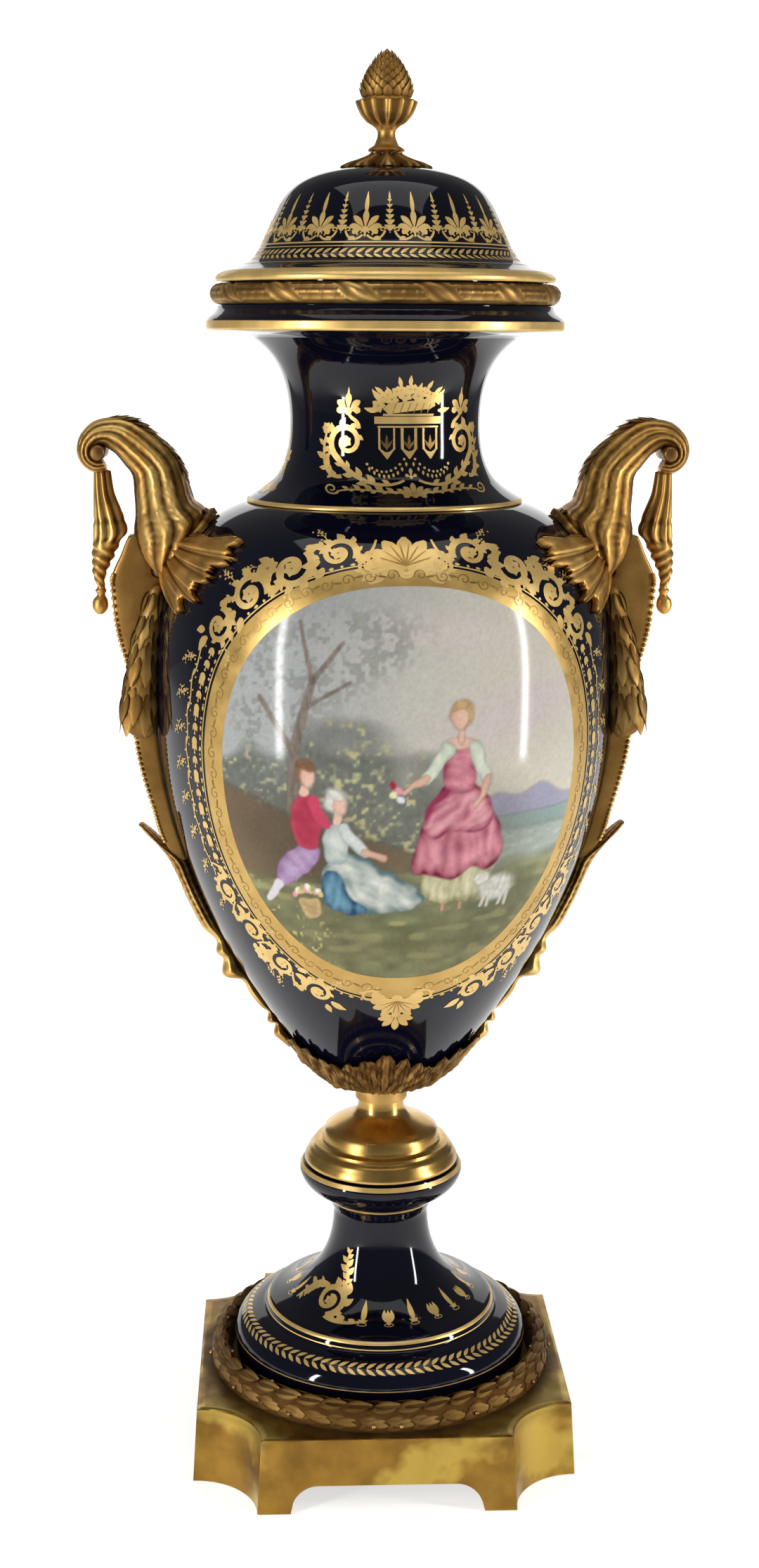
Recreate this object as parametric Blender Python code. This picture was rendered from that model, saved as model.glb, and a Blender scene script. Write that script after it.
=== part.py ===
# Mantel urn: a covered porcelain urn with gilt bronze mounts, standing on a square bronze base.
# Metres, +Z up. The origin is on the floor under the middle of the base.
# The front looks towards -Y, and the two handles stand out towards -X and +X.

import bpy
import bmesh
from math import asin, copysign, cos, hypot, pi, sin, sqrt
from mathutils import Matrix, Vector

# Fits
seam = 0.0003                   # gap between two pieces that touch
lift_clearance = 0.0020         # room round the lid's flange inside the rim ring

# Square base
base_half_width = 0.1110        # at the floor
base_top_half_width = 0.1084
base_height = 0.0439
base_scoop = 0.0375             # radius of the hollow corners
base_wall = 0.0045
base_plate = 0.0060             # thickness of the top plate
arch_half_span = 0.0545
arch_height = 0.0165
arch_corner = 0.0150
wreath_radius = 0.1031          # outside of the laurel wreath
wreath_height = 0.0166          # above the plate
wreath_relief = 0.0010

# Porcelain
porcelain_wall = 0.0058

# Socle
foot_height = 0.1238
foot_radius = 0.0875
foot_edge_height = 0.0168       # plain edge that stands inside the wreath
foot_line_radius = 0.0675       # heavy gilt line above the laurel band
foot_line_height = 0.0368
foot_stem_radius = 0.0280
foot_stem_drop = 0.0308         # from the top down to the stem's end
foot_collar_radius = 0.0483
foot_collar_drop = 0.0048       # from the top down to the collar's widest line
foot_top_radius = 0.0462

# Turned bronze stem
stem_height = 0.0384
stem_foot_radius = 0.0455
stem_neck_radius = 0.0133

# Leaf cup
cup_ring_height = 0.0032
cup_ring_radius = 0.0145
cup_floor = 0.0075
cup_metal = 0.0022
cup_flare = 0.0012
cup_leaves = 6
cup_tip = 0.0380                # heights of a leaf's edge above the underside of the urn
cup_side_tip = 0.0330
cup_dent = 0.0300
cup_notch = 0.0255

# Urn body
body_height = 0.3406
body_foot_radius = 0.0150
body_cup_radius = 0.0430        # where the leaf cup takes over
body_cup_level = 0.0156         # above the body's underside
belly_radius = 0.1285
belly_level = 0.2285            # above the body's underside
shoulder_radius = 0.0777        # where the neck stands
mouth_radius = 0.0620

# Neck
neck_height = 0.1059
neck_foot_radius = 0.0761
neck_foot_ring = 0.0022
neck_waist_radius = 0.0528
neck_waist_level = 0.0436
lip_radius = 0.0983
lip_level = 0.0928              # underside of the gilt lip
lip_height = 0.0052
lip_throat_radius = 0.0741
lip_throat_level = 0.0894
lip_top_radius = 0.0923

# Bronze ring on the lip
ring_height = 0.0119
ring_radius = 0.0962
ring_bore = 0.0820
ring_relief = 0.0009
ring_reeds = 18

# Lid
lid_height = 0.0600
lid_radius = 0.0932
lid_edge = 0.0024
lid_waist_radius = 0.0705
lid_waist_level = 0.0159
lid_top_radius = 0.0245
lid_flange_depth = 0.0080
lid_flange_wall = 0.0045

# Finial and its leaf rosette
cap_height = 0.0085
cap_radius = 0.0254
cap_top_radius = 0.0080
cap_leaves = 8
finial_height = 0.0536
finial_foot_radius = 0.0102
finial_stem_radius = 0.0047
finial_cup_radius = 0.0170
finial_cup_level = 0.0261
finial_cone_radius = 0.0140
finial_scale_relief = 0.07
finial_columns = 16

# Handles: the scroll's eye, measured from the widest line of the body
eye_out = 0.0296
eye_up = 0.1390
scroll_start_radius = 0.0121
scroll_growth = 0.0173
eye_pin_radius = 0.0042
eye_pin_half_length = 0.0150
eye_grip = 0.0014               # how deep the scroll closes on the pin
bracket_half_width = 0.0095
flute_depth = 0.06
leaf_back = 0.0012              # hollow behind the shoulder leaf
mount_gap = 0.0004              # between the lower mounts and the glaze

# Fineness of the solids
around_porcelain = 24
around_foot = 20
around_bronze = 20
around_ring = 2 * ring_reeds

# Heights above each piece's own foot
foot_stem_height = foot_height - foot_stem_drop
foot_collar_height = foot_height - foot_collar_drop

# Heights of the pieces above the floor
foot_bottom = base_height + seam
stem_bottom = foot_bottom + foot_height + seam
cup_bottom = stem_bottom + stem_height + seam
body_bottom = cup_bottom + cup_ring_height + cup_floor + seam
body_top = body_bottom + body_height
belly = body_bottom + belly_level
neck_bottom = body_top + seam
ring_bottom = neck_bottom + neck_height + seam
lid_bottom = ring_bottom + ring_height + seam
cap_bottom = lid_bottom + lid_height + seam
finial_bottom = cap_bottom + cap_height + seam


def finish(name, colour, roughness, metallic):
    surface = bpy.data.materials.new(name)
    surface.use_nodes = True
    shader = surface.node_tree.nodes["Principled BSDF"]
    shader.inputs["Base Color"].default_value = (*colour, 1.0)
    shader.inputs["Roughness"].default_value = roughness
    shader.inputs["Metallic"].default_value = metallic
    return surface


def porcelain(name):
    return finish(name + "_glaze", (0.006, 0.008, 0.028), 0.06, 0.0)


def bronze(name):
    return finish(name + "_bronze", (0.62, 0.42, 0.15), 0.36, 1.0)


def add(name, shape, surface):
    bmesh.ops.recalc_face_normals(shape, faces=shape.faces[:])
    mesh = bpy.data.meshes.new(name)
    shape.to_mesh(mesh)
    shape.free()
    mesh.shade_smooth()
    mesh.set_sharp_from_angle(angle=0.7)
    piece = bpy.data.objects.new(name, mesh)
    bpy.context.scene.collection.objects.link(piece)
    if surface is None:
        piece.hide_render = True
        piece.display_type = "WIRE"
    else:
        mesh.materials.append(surface)
    return piece


def combine(piece, other, operation):
    step = piece.modifiers.new(operation.lower(), "BOOLEAN")
    step.operation = operation
    step.solver = "EXACT"
    step.object = other


def curve(start, lead, settle, end, points):
    """Points along a cubic curve, from start to end."""
    line = []
    for step in range(points + 1):
        t = step / points
        share = ((1 - t) ** 3, 3 * (1 - t) ** 2 * t, 3 * (1 - t) * t * t, t ** 3)
        line.append(tuple(sum(s * p[i] for s, p in zip(share, (start, lead, settle, end))) for i in (0, 1)))
    return line


def raised(outline, height):
    return [(radius, level + height) for radius, level in outline]


def turned(outline, around, closed=True, carve=None):
    """Spin an outline of (radius, height) round the upright axis."""
    shape = bmesh.new()
    line = [shape.verts.new((radius, 0.0, height)) for radius, height in outline]
    following = line[1:] + line[:1] if closed else line[1:]
    for first, second in zip(line, following):
        shape.edges.new((first, second))
    bmesh.ops.spin(shape, geom=shape.verts[:] + shape.edges[:], cent=(0, 0, 0), axis=(0, 0, 1),
                   angle=2 * pi, steps=around, use_merge=True)
    bmesh.ops.remove_doubles(shape, verts=shape.verts[:], dist=0.000005)
    if carve:
        for point in shape.verts:
            radius = hypot(point.co.x, point.co.y)
            if radius > 0.001:
                column = round((Vector((1, 0)).angle_signed(point.co.xy)) / (2 * pi) * around) % around
                point.co = carve(point.co, radius, column)
    return shape


def loft(rings):
    """A closed skin over rings of equally many points."""
    shape = bmesh.new()
    loops = [[shape.verts.new(point) for point in ring] for ring in rings]
    for lower, upper in zip(loops, loops[1:]):
        for i in range(len(lower)):
            j = (i + 1) % len(lower)
            shape.faces.new((lower[i], lower[j], upper[j], upper[i]))
    shape.faces.new(loops[0])
    shape.faces.new(loops[-1])
    return shape


# Square base: bronze casting with hollow corners, open arches and a laurel wreath

def base_outline(half_width, inset, corner_steps):
    """A square with scooped corners, moved inwards by an inset."""
    radius = base_scoop + inset
    trim = asin(inset / radius)
    points = []
    for quarter in range(4):
        turn = quarter * pi / 2
        for step in range(corner_steps + 1):
            angle = 1.5 * pi - trim - (pi / 2 - 2 * trim) * step / corner_steps
            x = half_width + radius * cos(angle)
            y = half_width + radius * sin(angle)
            points.append((x * cos(turn) - y * sin(turn), x * sin(turn) + y * cos(turn)))
    return points


def build_base():
    skins = ((base_half_width, 0.0), (base_top_half_width, base_height))
    base = add("plinth", loft([[(x, y, z) for x, y in base_outline(half, 0.0, 6)] for half, z in skins]),
               bronze("plinth"))
    below = -base_wall
    ceiling = base_height - base_plate
    inside = base_outline(base_top_half_width, base_wall, 6)
    hollow = add("plinth_hollow", loft([[(x, y, z) for x, y in inside] for z in (below, ceiling)]), None)
    combine(base, hollow, "DIFFERENCE")
    arch = [(-arch_half_span, below)]
    for side in (-1, 1):
        for step in range(4):
            angle = step * pi / 6
            out = arch_half_span - arch_corner + arch_corner * (cos(angle) if side < 0 else sin(angle))
            up = arch_height - arch_corner + arch_corner * (sin(angle) if side < 0 else cos(angle))
            arch.append((side * out, up))
    arch.append((arch_half_span, below))
    reach = base_half_width + base_wall
    for name, across_x in (("arch_front_to_back", False), ("arch_side_to_side", True)):
        ends = []
        for end in (-reach, reach):
            ends.append([(end, along, up) if across_x else (along, end, up) for along, up in arch])
        combine(base, add(name, loft(ends), None), "DIFFERENCE")
    bore = (foot_radius + seam) / cos(pi / around_ring)
    crown = (wreath_radius + bore) / 2
    sunk = base_height - base_plate / 2
    wreath = [(bore, sunk), (wreath_radius - wreath_relief * 2, sunk)]
    for step in range(5):
        angle = step * pi / 8
        out = crown + (wreath_radius - crown) * cos(angle)
        wreath.append((out, base_height + wreath_height * sin(angle)))
    wreath.append((bore, base_height + wreath_height * 0.96))

    def leaves(point, radius, column):
        lifted = radius > crown - wreath_relief and point.z > base_height + wreath_relief and column % 2
        outward = 1 - wreath_relief / radius if lifted else 1
        return Vector((point.x * outward, point.y * outward, point.z - (wreath_relief if lifted else 0)))

    ring = add("wreath_casting", turned(wreath, around_ring, carve=leaves), None)
    combine(base, ring, "UNION")


# Socle: glazed porcelain, hollow, with a hole at the top for the stem

def build_foot():
    wall = porcelain_wall
    flare_start = (foot_line_radius - 0.0015, foot_line_height + 0.0015)
    stem_top = (foot_stem_radius, foot_stem_height)
    waist_rise = foot_stem_height - foot_line_height
    outside = [(foot_radius - 0.0008, 0.0), (foot_radius, foot_edge_height)]
    outside += curve((foot_radius, foot_edge_height), (foot_radius, foot_edge_height + 0.007),
                     (foot_line_radius + 0.0115, foot_line_height - 0.0065),
                     (foot_line_radius + 0.0025, foot_line_height - 0.0050), 2)[1:]
    outside += [(foot_line_radius, foot_line_height)]
    outside += curve(flare_start, (foot_stem_radius + 0.010, foot_line_height + 0.16 * waist_rise),
                     (foot_stem_radius + 0.0003, foot_line_height + 0.56 * waist_rise), stem_top, 4)
    under_collar = foot_stem_height + 0.0074
    outside += [(foot_stem_radius + 0.0030, under_collar)]
    outside += curve((foot_stem_radius + 0.0034, under_collar + 0.0010),
                     (foot_collar_radius - 0.0090, under_collar + 0.0058),
                     (foot_collar_radius - 0.0014, foot_collar_height - 0.0085),
                     (foot_collar_radius, foot_collar_height), 3)
    outside += [(foot_top_radius, foot_height)]
    bore = foot_stem_radius - wall
    inside = [(bore * 0.4, foot_height), (bore * 0.4, foot_height - wall), (bore, foot_height - wall)]
    inside += curve((bore, foot_stem_height), (bore, foot_line_height + 0.42 * waist_rise),
                    (foot_stem_radius, foot_line_height + 0.10 * waist_rise),
                    (foot_line_radius - wall, foot_line_height - 0.6 * wall), 3)
    inside += [(foot_radius - wall, foot_edge_height), (foot_radius - wall, 0.0)]
    add("foot", turned(raised(outside + inside, foot_bottom), around_foot), porcelain("foot"))


# Turned bronze stem between the socle and the urn

def build_stem():
    top = stem_height
    foot = stem_foot_radius
    outline = [(0, 0), (foot - 0.0012, 0), (foot, 0.0016), (foot - 0.0020, 0.0060)]
    outline += [(foot - 0.0050, 0.0102), (foot - 0.0064, 0.0124), (foot - 0.0105, 0.0130)]
    outline += [(foot - 0.0112, top - 0.0209)]
    outline += curve((foot - 0.0126, top - 0.0178), (foot - 0.0190, top - 0.0116),
                     (stem_neck_radius + 0.002, top - 0.0134),
                     (stem_neck_radius + 0.0003, top - 0.0045), 4)
    outline += [(stem_neck_radius, top), (0, top)]
    shape = turned(raised(outline, stem_bottom), around_bronze, closed=False)
    add("stem_collar", shape, bronze("stem_collar"))


# Urn body: thrown porcelain, hollow and open at the top

body_knee = 0.335               # share of the cup's level where the rounded underside has its middle point


def body_outline(points):
    """The outside of the body, from its mouth's edge down to its underside."""
    rise = body_height - belly_level
    spread = belly_radius - shoulder_radius
    line = curve((shoulder_radius, body_top), (shoulder_radius + 0.94 * spread, body_top - 0.153 * rise),
                 (belly_radius, body_top - 0.53 * rise), (belly_radius, belly), points)
    drop = belly_level - body_cup_level
    line += curve((belly_radius, belly), (belly_radius, belly - 0.153 * drop),
                  (belly_radius - 0.046 * (belly_radius - body_cup_radius), belly - 0.520 * drop),
                  (body_cup_radius, body_bottom + body_cup_level), points)[1:]
    line += curve((body_cup_radius, body_bottom + body_cup_level),
                  (body_cup_radius - 0.0070, body_bottom + 0.54 * body_cup_level),
                  (body_foot_radius + 0.0120, body_bottom + 0.02 * body_cup_level),
                  (body_foot_radius, body_bottom), 2)[1:]
    return line


fine_body = body_outline(60)


def body_radius(height):
    """Radius of the body's outside at a height."""
    if height >= body_top:
        return shoulder_radius
    for (above_radius, above), (below_radius, below) in zip(fine_body, fine_body[1:]):
        if above >= height >= below and above > below:
            return below_radius + (above_radius - below_radius) * (height - below) / (above - below)
    return body_foot_radius


def on_body(height, standoff):
    """A point held off the body's outside, square to it."""
    lean = 0.001
    slope = (body_radius(height + lean) - body_radius(height - lean)) / (2 * lean)
    size = sqrt(1 + slope * slope)
    off = standoff + seam
    return body_radius(height) + off / size, height - off * slope / size


def build_body():
    wall = porcelain_wall
    outside = body_outline(6)
    inside = []
    for radius, height in reversed(body_outline(3)[1:-1]):
        off_out, off_down = on_body(height, 0.0)
        size = hypot(off_out - radius, off_down - height)
        inside.append((radius - wall * (off_out - radius) / size,
                       height - wall * (off_down - height) / size))
    shape = [(0, body_bottom + wall)] + inside + [(mouth_radius, body_top)] + outside + [(0, body_bottom)]
    add("body", turned(shape, around_porcelain, closed=False), porcelain("body"))


# Neck: porcelain, stands on the shoulder, and spreads to a lip that carries the bronze ring

def build_neck():
    wall = porcelain_wall
    waist = neck_waist_level
    spread = neck_foot_radius - neck_waist_radius
    outside = [(neck_foot_radius + 0.0008, 0.0)]
    foot_curve = curve((neck_foot_radius, neck_foot_ring), (neck_foot_radius - 0.40 * spread, 0.20 * waist),
                       (neck_waist_radius, 0.265 * waist), (neck_waist_radius, waist), 4)
    rise = lip_throat_level - waist
    throat = lip_throat_radius - neck_waist_radius
    throat_curve = curve((neck_waist_radius, waist), (neck_waist_radius, waist + 0.70 * rise),
                         (lip_throat_radius - 0.32 * throat, lip_throat_level - 0.107 * rise),
                         (lip_throat_radius, lip_throat_level), 4)
    outside += foot_curve + throat_curve[1:]
    outside += [(lip_radius - 0.0016, lip_level), (lip_radius, lip_level + 0.0012)]
    outside += [(lip_radius, lip_level + lip_height), (lip_radius - 0.0046, lip_level + lip_height + 0.0048)]
    outside += [(lip_top_radius, neck_height)]
    inside = [(ring_bore, neck_height), (ring_bore - 0.002, lip_level)]
    inside += [(lip_throat_radius - 1.2 * wall, lip_throat_level - 0.14 * rise)]
    inside += [(neck_waist_radius - 0.7 * wall, waist + 0.55 * rise), (neck_waist_radius - wall, waist)]
    inside += [(neck_waist_radius - 0.55 * wall, 0.42 * waist), (neck_foot_radius - 2.4 * wall, 0.0)]
    add("neck", turned(raised(outside + inside, neck_bottom), around_porcelain), porcelain("neck"))


# Bronze ring of bound reeds, lying on the lip

def build_rim_ring():
    half = ring_height / 2
    thick = ring_radius - ring_bore
    outline = [(ring_bore, 0), (ring_radius - 0.35 * thick, 0)]
    for step in range(-2, 3):
        angle = step * pi / 5
        outline.append((ring_radius - 0.35 * thick * (1 - cos(angle)), half + 0.96 * half * sin(angle)))
    outline += [(ring_radius - 0.35 * thick, ring_height), (ring_bore, ring_height)]

    def reeds(point, radius, column):
        cut = radius > ring_radius - 0.2 * thick and column % 2
        outward = 1 - ring_relief / radius if cut else 1
        return Vector((point.x * outward, point.y * outward, point.z))

    add("rim_ring", turned(raised(outline, ring_bottom), around_ring, carve=reeds), bronze("rim_ring"))


# Lid: porcelain dome, open below, with a flange that drops inside the bronze ring

def build_lid():
    wall = porcelain_wall
    rise = lid_height - lid_waist_level
    spread = lid_waist_radius - lid_top_radius
    outside = [(lid_radius - 0.0008, 0.0), (lid_radius, lid_edge)]
    outside += curve((lid_radius - 0.0040, lid_edge + 0.0030), (lid_radius - 0.0120, lid_edge + 0.0055),
                     (lid_waist_radius + 0.0020, lid_waist_level - 0.0055),
                     (lid_waist_radius, lid_waist_level), 2)
    outside += curve((lid_waist_radius, lid_waist_level),
                     (lid_waist_radius - 0.296 * spread, lid_waist_level + 0.526 * rise),
                     (lid_top_radius + 0.776 * spread, lid_waist_level + 0.870 * rise),
                     (lid_top_radius, lid_height), 5)[1:]
    flange = ring_bore - lift_clearance
    inner = flange - lid_flange_wall
    inside = [(0, lid_height - wall), (lid_top_radius, lid_height - wall)]
    inside += curve((lid_top_radius + 0.2 * spread, lid_height - 1.15 * wall),
                    (lid_top_radius + 0.70 * spread, lid_waist_level + 0.75 * rise),
                    (lid_waist_radius - 0.43 * spread, lid_waist_level + 0.45 * rise),
                    (lid_waist_radius - wall, lid_waist_level - 0.4 * wall), 3)
    inside += [(inner, 0.0), (inner, -lid_flange_depth), (flange, -lid_flange_depth), (flange, 0.0)]
    line = [(0, lid_height)] + outside[::-1] + inside[::-1]
    add("lid", turned(raised(line, lid_bottom), around_porcelain, closed=False), porcelain("lid"))


# Leaf cup: bronze leaves that hold the bottom of the urn

def build_leaf_cup():
    edge = (cup_notch, cup_notch, cup_side_tip, cup_dent, cup_tip, cup_dent, cup_side_tip, cup_notch)
    around = cup_leaves * len(edge)
    grow = 1 / cos(pi / around)

    turns = [(cos(2 * pi * i / around), sin(2 * pi * i / around)) for i in range(around)]

    def ring_of(radius, height):
        return [(radius * x, radius * y, height) for x, y in turns]

    def row(level, share, standoff):
        points = []
        for i, (x, y) in enumerate(turns):
            up = level + (edge[i % len(edge)] - level) * share
            radius, height = on_body(body_bottom + up, standoff)
            points.append((radius * grow * x, radius * grow * y, height))
        return points

    rings = [ring_of(cup_ring_radius, cup_bottom), ring_of(cup_ring_radius, cup_bottom + cup_ring_height)]
    rows = ((body_knee * body_cup_level, 0.0), (body_cup_level, 0.0), (body_cup_level, 1.0))
    for level, share in rows:
        rings.append(row(level, share, cup_metal + cup_flare * share ** 3))
    for level, share in reversed(rows):
        rings.append(row(level, share, 0.0))
    rings.append(ring_of(body_foot_radius, body_bottom - seam))
    add("leaf_cup", loft(rings), bronze("leaf_cup"))


# Leaf rosette and cone finial on the lid

def build_finial():
    rim = cap_bottom + 0.0016
    outline = [(0, cap_bottom), (cap_radius - 0.0020, cap_bottom), (cap_radius, rim),
               (cap_radius * 0.78, cap_bottom + cap_height * 0.42),
               (cap_top_radius * 1.5, cap_bottom + cap_height * 0.72),
               (cap_top_radius, cap_bottom + cap_height), (0, cap_bottom + cap_height)]
    columns = 3 * cap_leaves

    def petals(point, radius, column):
        notch = radius > cap_radius * 0.7 and column % 3 == 0
        outward = 0.88 if notch else 1
        return Vector((point.x * outward, point.y * outward, point.z))

    add("finial_cap", turned(outline, columns, closed=False, carve=petals), bronze("finial_cap"))

    rise = finial_height - finial_cup_level
    foot = finial_foot_radius
    outline = [(0, 0), (foot, 0), (foot * 0.81, 0.0022), (foot * 0.60, 0.0044),
               (finial_stem_radius, 0.0088), (finial_stem_radius * 1.5, finial_cup_level - 0.0130),
               (finial_cup_radius * 0.79, finial_cup_level - 0.0086),
               (finial_cup_radius * 0.98, finial_cup_level - 0.0021),
               (finial_cup_radius, finial_cup_level)]
    cone_rows = 8
    for row in range(cone_rows):
        share = row / cone_rows
        outline.append((finial_cone_radius * sqrt(1 - share ** 2.1),
                        finial_cup_level + 0.001 + (rise - 0.001) * share))
    outline.append((0, finial_height))
    outline = raised(outline, finial_bottom)
    heights = [height for _, height in outline]

    def scales(point, radius, column):
        row = min(range(len(heights)), key=lambda i: abs(heights[i] - point.z))
        lifted = point.z > finial_bottom + finial_cup_level and (row + column) % 2
        outward = 1 - finial_scale_relief if lifted else 1
        return Vector((point.x * outward, point.y * outward, point.z))

    add("finial", turned(outline, finial_columns, closed=False, carve=scales), bronze("finial"))


# Handles. A place on a handle is a radius, a distance across it, and a height.
# The handles' heights are drawn for this shoulder and bowl, and stretch with the real ones.

drawn_shoulder = 0.1121
drawn_bowl = 0.2285
shoulder_stretch = (body_height - belly_level) / drawn_shoulder
bowl_stretch = belly_level / drawn_bowl


def place(side, radius, across, height):
    turn = across / radius
    return Vector((side * radius * cos(turn), radius * sin(turn), height))


def level_at(up):
    """Height of a place on a handle, which moves with the shoulder or the bowl of the body."""
    return belly + up * (shoulder_stretch if up > 0 else bowl_stretch)


def off_body(radius, height, least):
    return max(radius, body_radius(height) + seam + least), height


def cast(side, stations, points, square=1.0, flute=0.0, least=0.0):
    """Skin over stations of (one edge, other edge, low and high limit across)."""
    rings = []
    for first, second, low, high in stations:
        ring = []
        for k in range(points):
            angle = 2 * pi * (k + 0.5) / points
            deep = 1 - flute if k % 2 else 1
            along = deep * copysign(abs(cos(angle)) ** square, cos(angle)) / 2 + 0.5
            over = deep * copysign(abs(sin(angle)) ** square, sin(angle)) / 2 + 0.5
            radius = second[0] + (first[0] - second[0]) * along
            height = second[1] + (first[1] - second[1]) * along
            radius, height = off_body(radius, height, least)
            ring.append(place(side, radius, low + (high - low) * over, height))
        rings.append(ring)
    return loft(rings)


eye = (belly_radius + eye_out, level_at(eye_up))


def scroll_stations():
    """The horn from its curl round the eye to its root on the shoulder."""
    stations = []
    for step in range(7):
        turn = -2.0 + step * 0.70
        share = (turn + 2.0) / 4.62
        outer = scroll_start_radius + scroll_growth * share ** 4
        inner = eye_pin_radius - eye_grip - 0.0006 * sin(pi * share)
        half = 0.0095 + 0.0040 * share
        edges = [(eye[0] + r * cos(turn), eye[1] + r * sin(turn)) for r in (outer, inner)]
        stations.append((edges[0], edges[1], -half, half))
    # ridge out and up, hollow side out and up, half width: all from the eye
    descent = ((-0.0254, 0.0146, -0.0081, -0.0010, 0.0140), (-0.0377, 0.0050, -0.0136, -0.0075, 0.0155),
               (-0.0449, -0.0043, -0.0175, -0.0132, 0.0180), (-0.0491, -0.0155, -0.0183, -0.0218, 0.0215),
               (-0.0525, -0.0258, -0.0187, -0.0339, 0.0270), (-0.0590, -0.0325, -0.0176, -0.0455, 0.0340),
               (-0.0500, -0.0470, -0.0210, -0.0560, 0.0370), (-0.0390, -0.0610, -0.0280, -0.0645, 0.0300))
    for ridge_out, ridge_up, hollow_out, hollow_up, half in descent:
        ridge = (eye[0] + ridge_out, eye[1] + ridge_up * shoulder_stretch)
        hollow = (eye[0] + hollow_out, eye[1] + hollow_up * shoulder_stretch)
        stations.append((ridge, hollow, -half, half))
    return stations


# Lobes of the shoulder leaf: distance across, and height above the widest line
leaf_lobes = ((0.020, 0.1012), (0.045, 0.0950), (0.075, 0.0965), (0.084, 0.0855), (0.078, 0.0760),
              (0.074, 0.0635), (0.059, 0.0565), (0.045, 0.0640), (0.033, 0.0670), (0.014, 0.0705))
leaf_top = 0.1042
leaf_foot = 0.0715
leaf_middle = 0.0860


def leaf_casting(side):
    edge = [(0.0, leaf_top)] + list(leaf_lobes) + [(0.0, leaf_foot)]
    edge += [(-across, up) for across, up in reversed(leaf_lobes)]
    fronts = ((1.0, 0.0026), (0.72, 0.0056), (0.36, 0.0070))
    shape = bmesh.new()
    skins = []
    for backed in (False, True):
        rows = []
        for share, thick in fronts:
            row = []
            for across, up in edge:
                height = level_at(leaf_middle + (up - leaf_middle) * share)
                rise = (leaf_back if share < 1 else leaf_back / 2) if backed else thick
                radius, level = on_body(height, rise)
                row.append(shape.verts.new(place(side, radius, across * share, level)))
            rows.append(row)
        radius, level = on_body(level_at(leaf_middle), leaf_back if backed else fronts[-1][1])
        centre = shape.verts.new(place(side, radius, 0.0, level))
        skins.append(rows)
        for outer, inner in zip(rows, rows[1:]):
            for i in range(len(edge)):
                j = (i + 1) % len(edge)
                shape.faces.new((outer[i], outer[j], inner[j], inner[i]))
        for i in range(len(edge)):
            shape.faces.new((rows[-1][i], rows[-1][(i + 1) % len(edge)], centre))
    front_edge, back_edge = skins[0][0], skins[1][0]
    for i in range(len(edge)):
        j = (i + 1) % len(edge)
        shape.faces.new((front_edge[i], front_edge[j], back_edge[j], back_edge[i]))
    return shape


def build_handle(side, word):
    shape = cast(side, scroll_stations(), 12, flute=flute_depth, least=leaf_back + 0.0008)
    horn = add("horn_" + word, shape, bronze("horn_" + word))
    combine(horn, add("shoulder_leaf_" + word, leaf_casting(side), None), "UNION")
    pin = bmesh.new()
    bmesh.ops.create_cone(pin, cap_ends=True, segments=10, radius1=eye_pin_radius, radius2=eye_pin_radius,
                          depth=2 * eye_pin_half_length)
    bmesh.ops.rotate(pin, verts=pin.verts[:], matrix=Matrix.Rotation(pi / 2, 3, "X"))
    bmesh.ops.translate(pin, verts=pin.verts[:], vec=(side * eye[0], 0, eye[1]))
    combine(horn, add("eye_pin_" + word, pin, None), "UNION")


def build_drape(side, word):
    top = eye[1] - scroll_start_radius - 0.0004
    # drop below the scroll, outer and inner edge from the eye, half width
    folds = ((0.0000, 0.0034, -0.0066, 0.0050), (0.0093, 0.0037, -0.0078, 0.0070),
             (0.0180, 0.0039, -0.0110, 0.0085), (0.0260, 0.0043, -0.0140, 0.0100),
             (0.0320, 0.0046, -0.0147, 0.0105), (0.0370, 0.0051, -0.0112, 0.0100),
             (0.0440, 0.0057, -0.0082, 0.0085), (0.0500, 0.0056, -0.0050, 0.0070),
             (0.0560, 0.0053, -0.0024, 0.0055), (0.0625, 0.0029, -0.0016, 0.0032),
             (0.0645, 0.0041, -0.0023, 0.0038), (0.0670, 0.0030, -0.0015, 0.0030),
             (0.0700, 0.0053, -0.0028, 0.0042), (0.0740, 0.0057, -0.0030, 0.0044),
             (0.0770, 0.0041, -0.0012, 0.0030), (0.0782, 0.0024, 0.0008, 0.0012))
    stations = []
    for drop, outer, inner, half in folds:
        level = top - drop * shoulder_stretch
        stations.append(((eye[0] + outer, level), (eye[0] + inner, level), -half, half))
    add("drape_" + word, cast(side, stations, 8, flute=flute_depth), bronze("drape_" + word))


def build_bracket(side, word):
    # height above the widest line, depth of the free top part, outer edge off the body
    head = ((0.0935, 0.0118, 0.0142), (0.0885, 0.0112, 0.0166), (0.0825, 0.0092, 0.0190),
            (0.0765, 0.0056, 0.0220), (0.0715, 0.0018, 0.0240))
    stations = []
    for up, inner, outer in head:
        level = level_at(up)
        stations.append(((belly_radius + outer, level), (belly_radius + inner, level), -bracket_half_width,
                         bracket_half_width))
    tail = ((0.0665, 0.0308), (0.0475, 0.0252), (0.0335, 0.0212), (0.0190, 0.0167), (0.0000, 0.0149),
            (-0.0200, 0.0136), (-0.0350, 0.0127), (-0.0500, 0.0114), (-0.0650, 0.0104),
            (-0.0750, 0.0104), (-0.0800, 0.0088))
    for up, standoff in tail:
        seat = on_body(level_at(up), 0.0)
        outer = (body_radius(level_at(up)) + seam + standoff, seat[1])
        stations.append((outer, seat, -bracket_half_width, bracket_half_width))
    add("bracket_" + word, cast(side, stations, 8, square=0.35), bronze("bracket_" + word))


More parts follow.
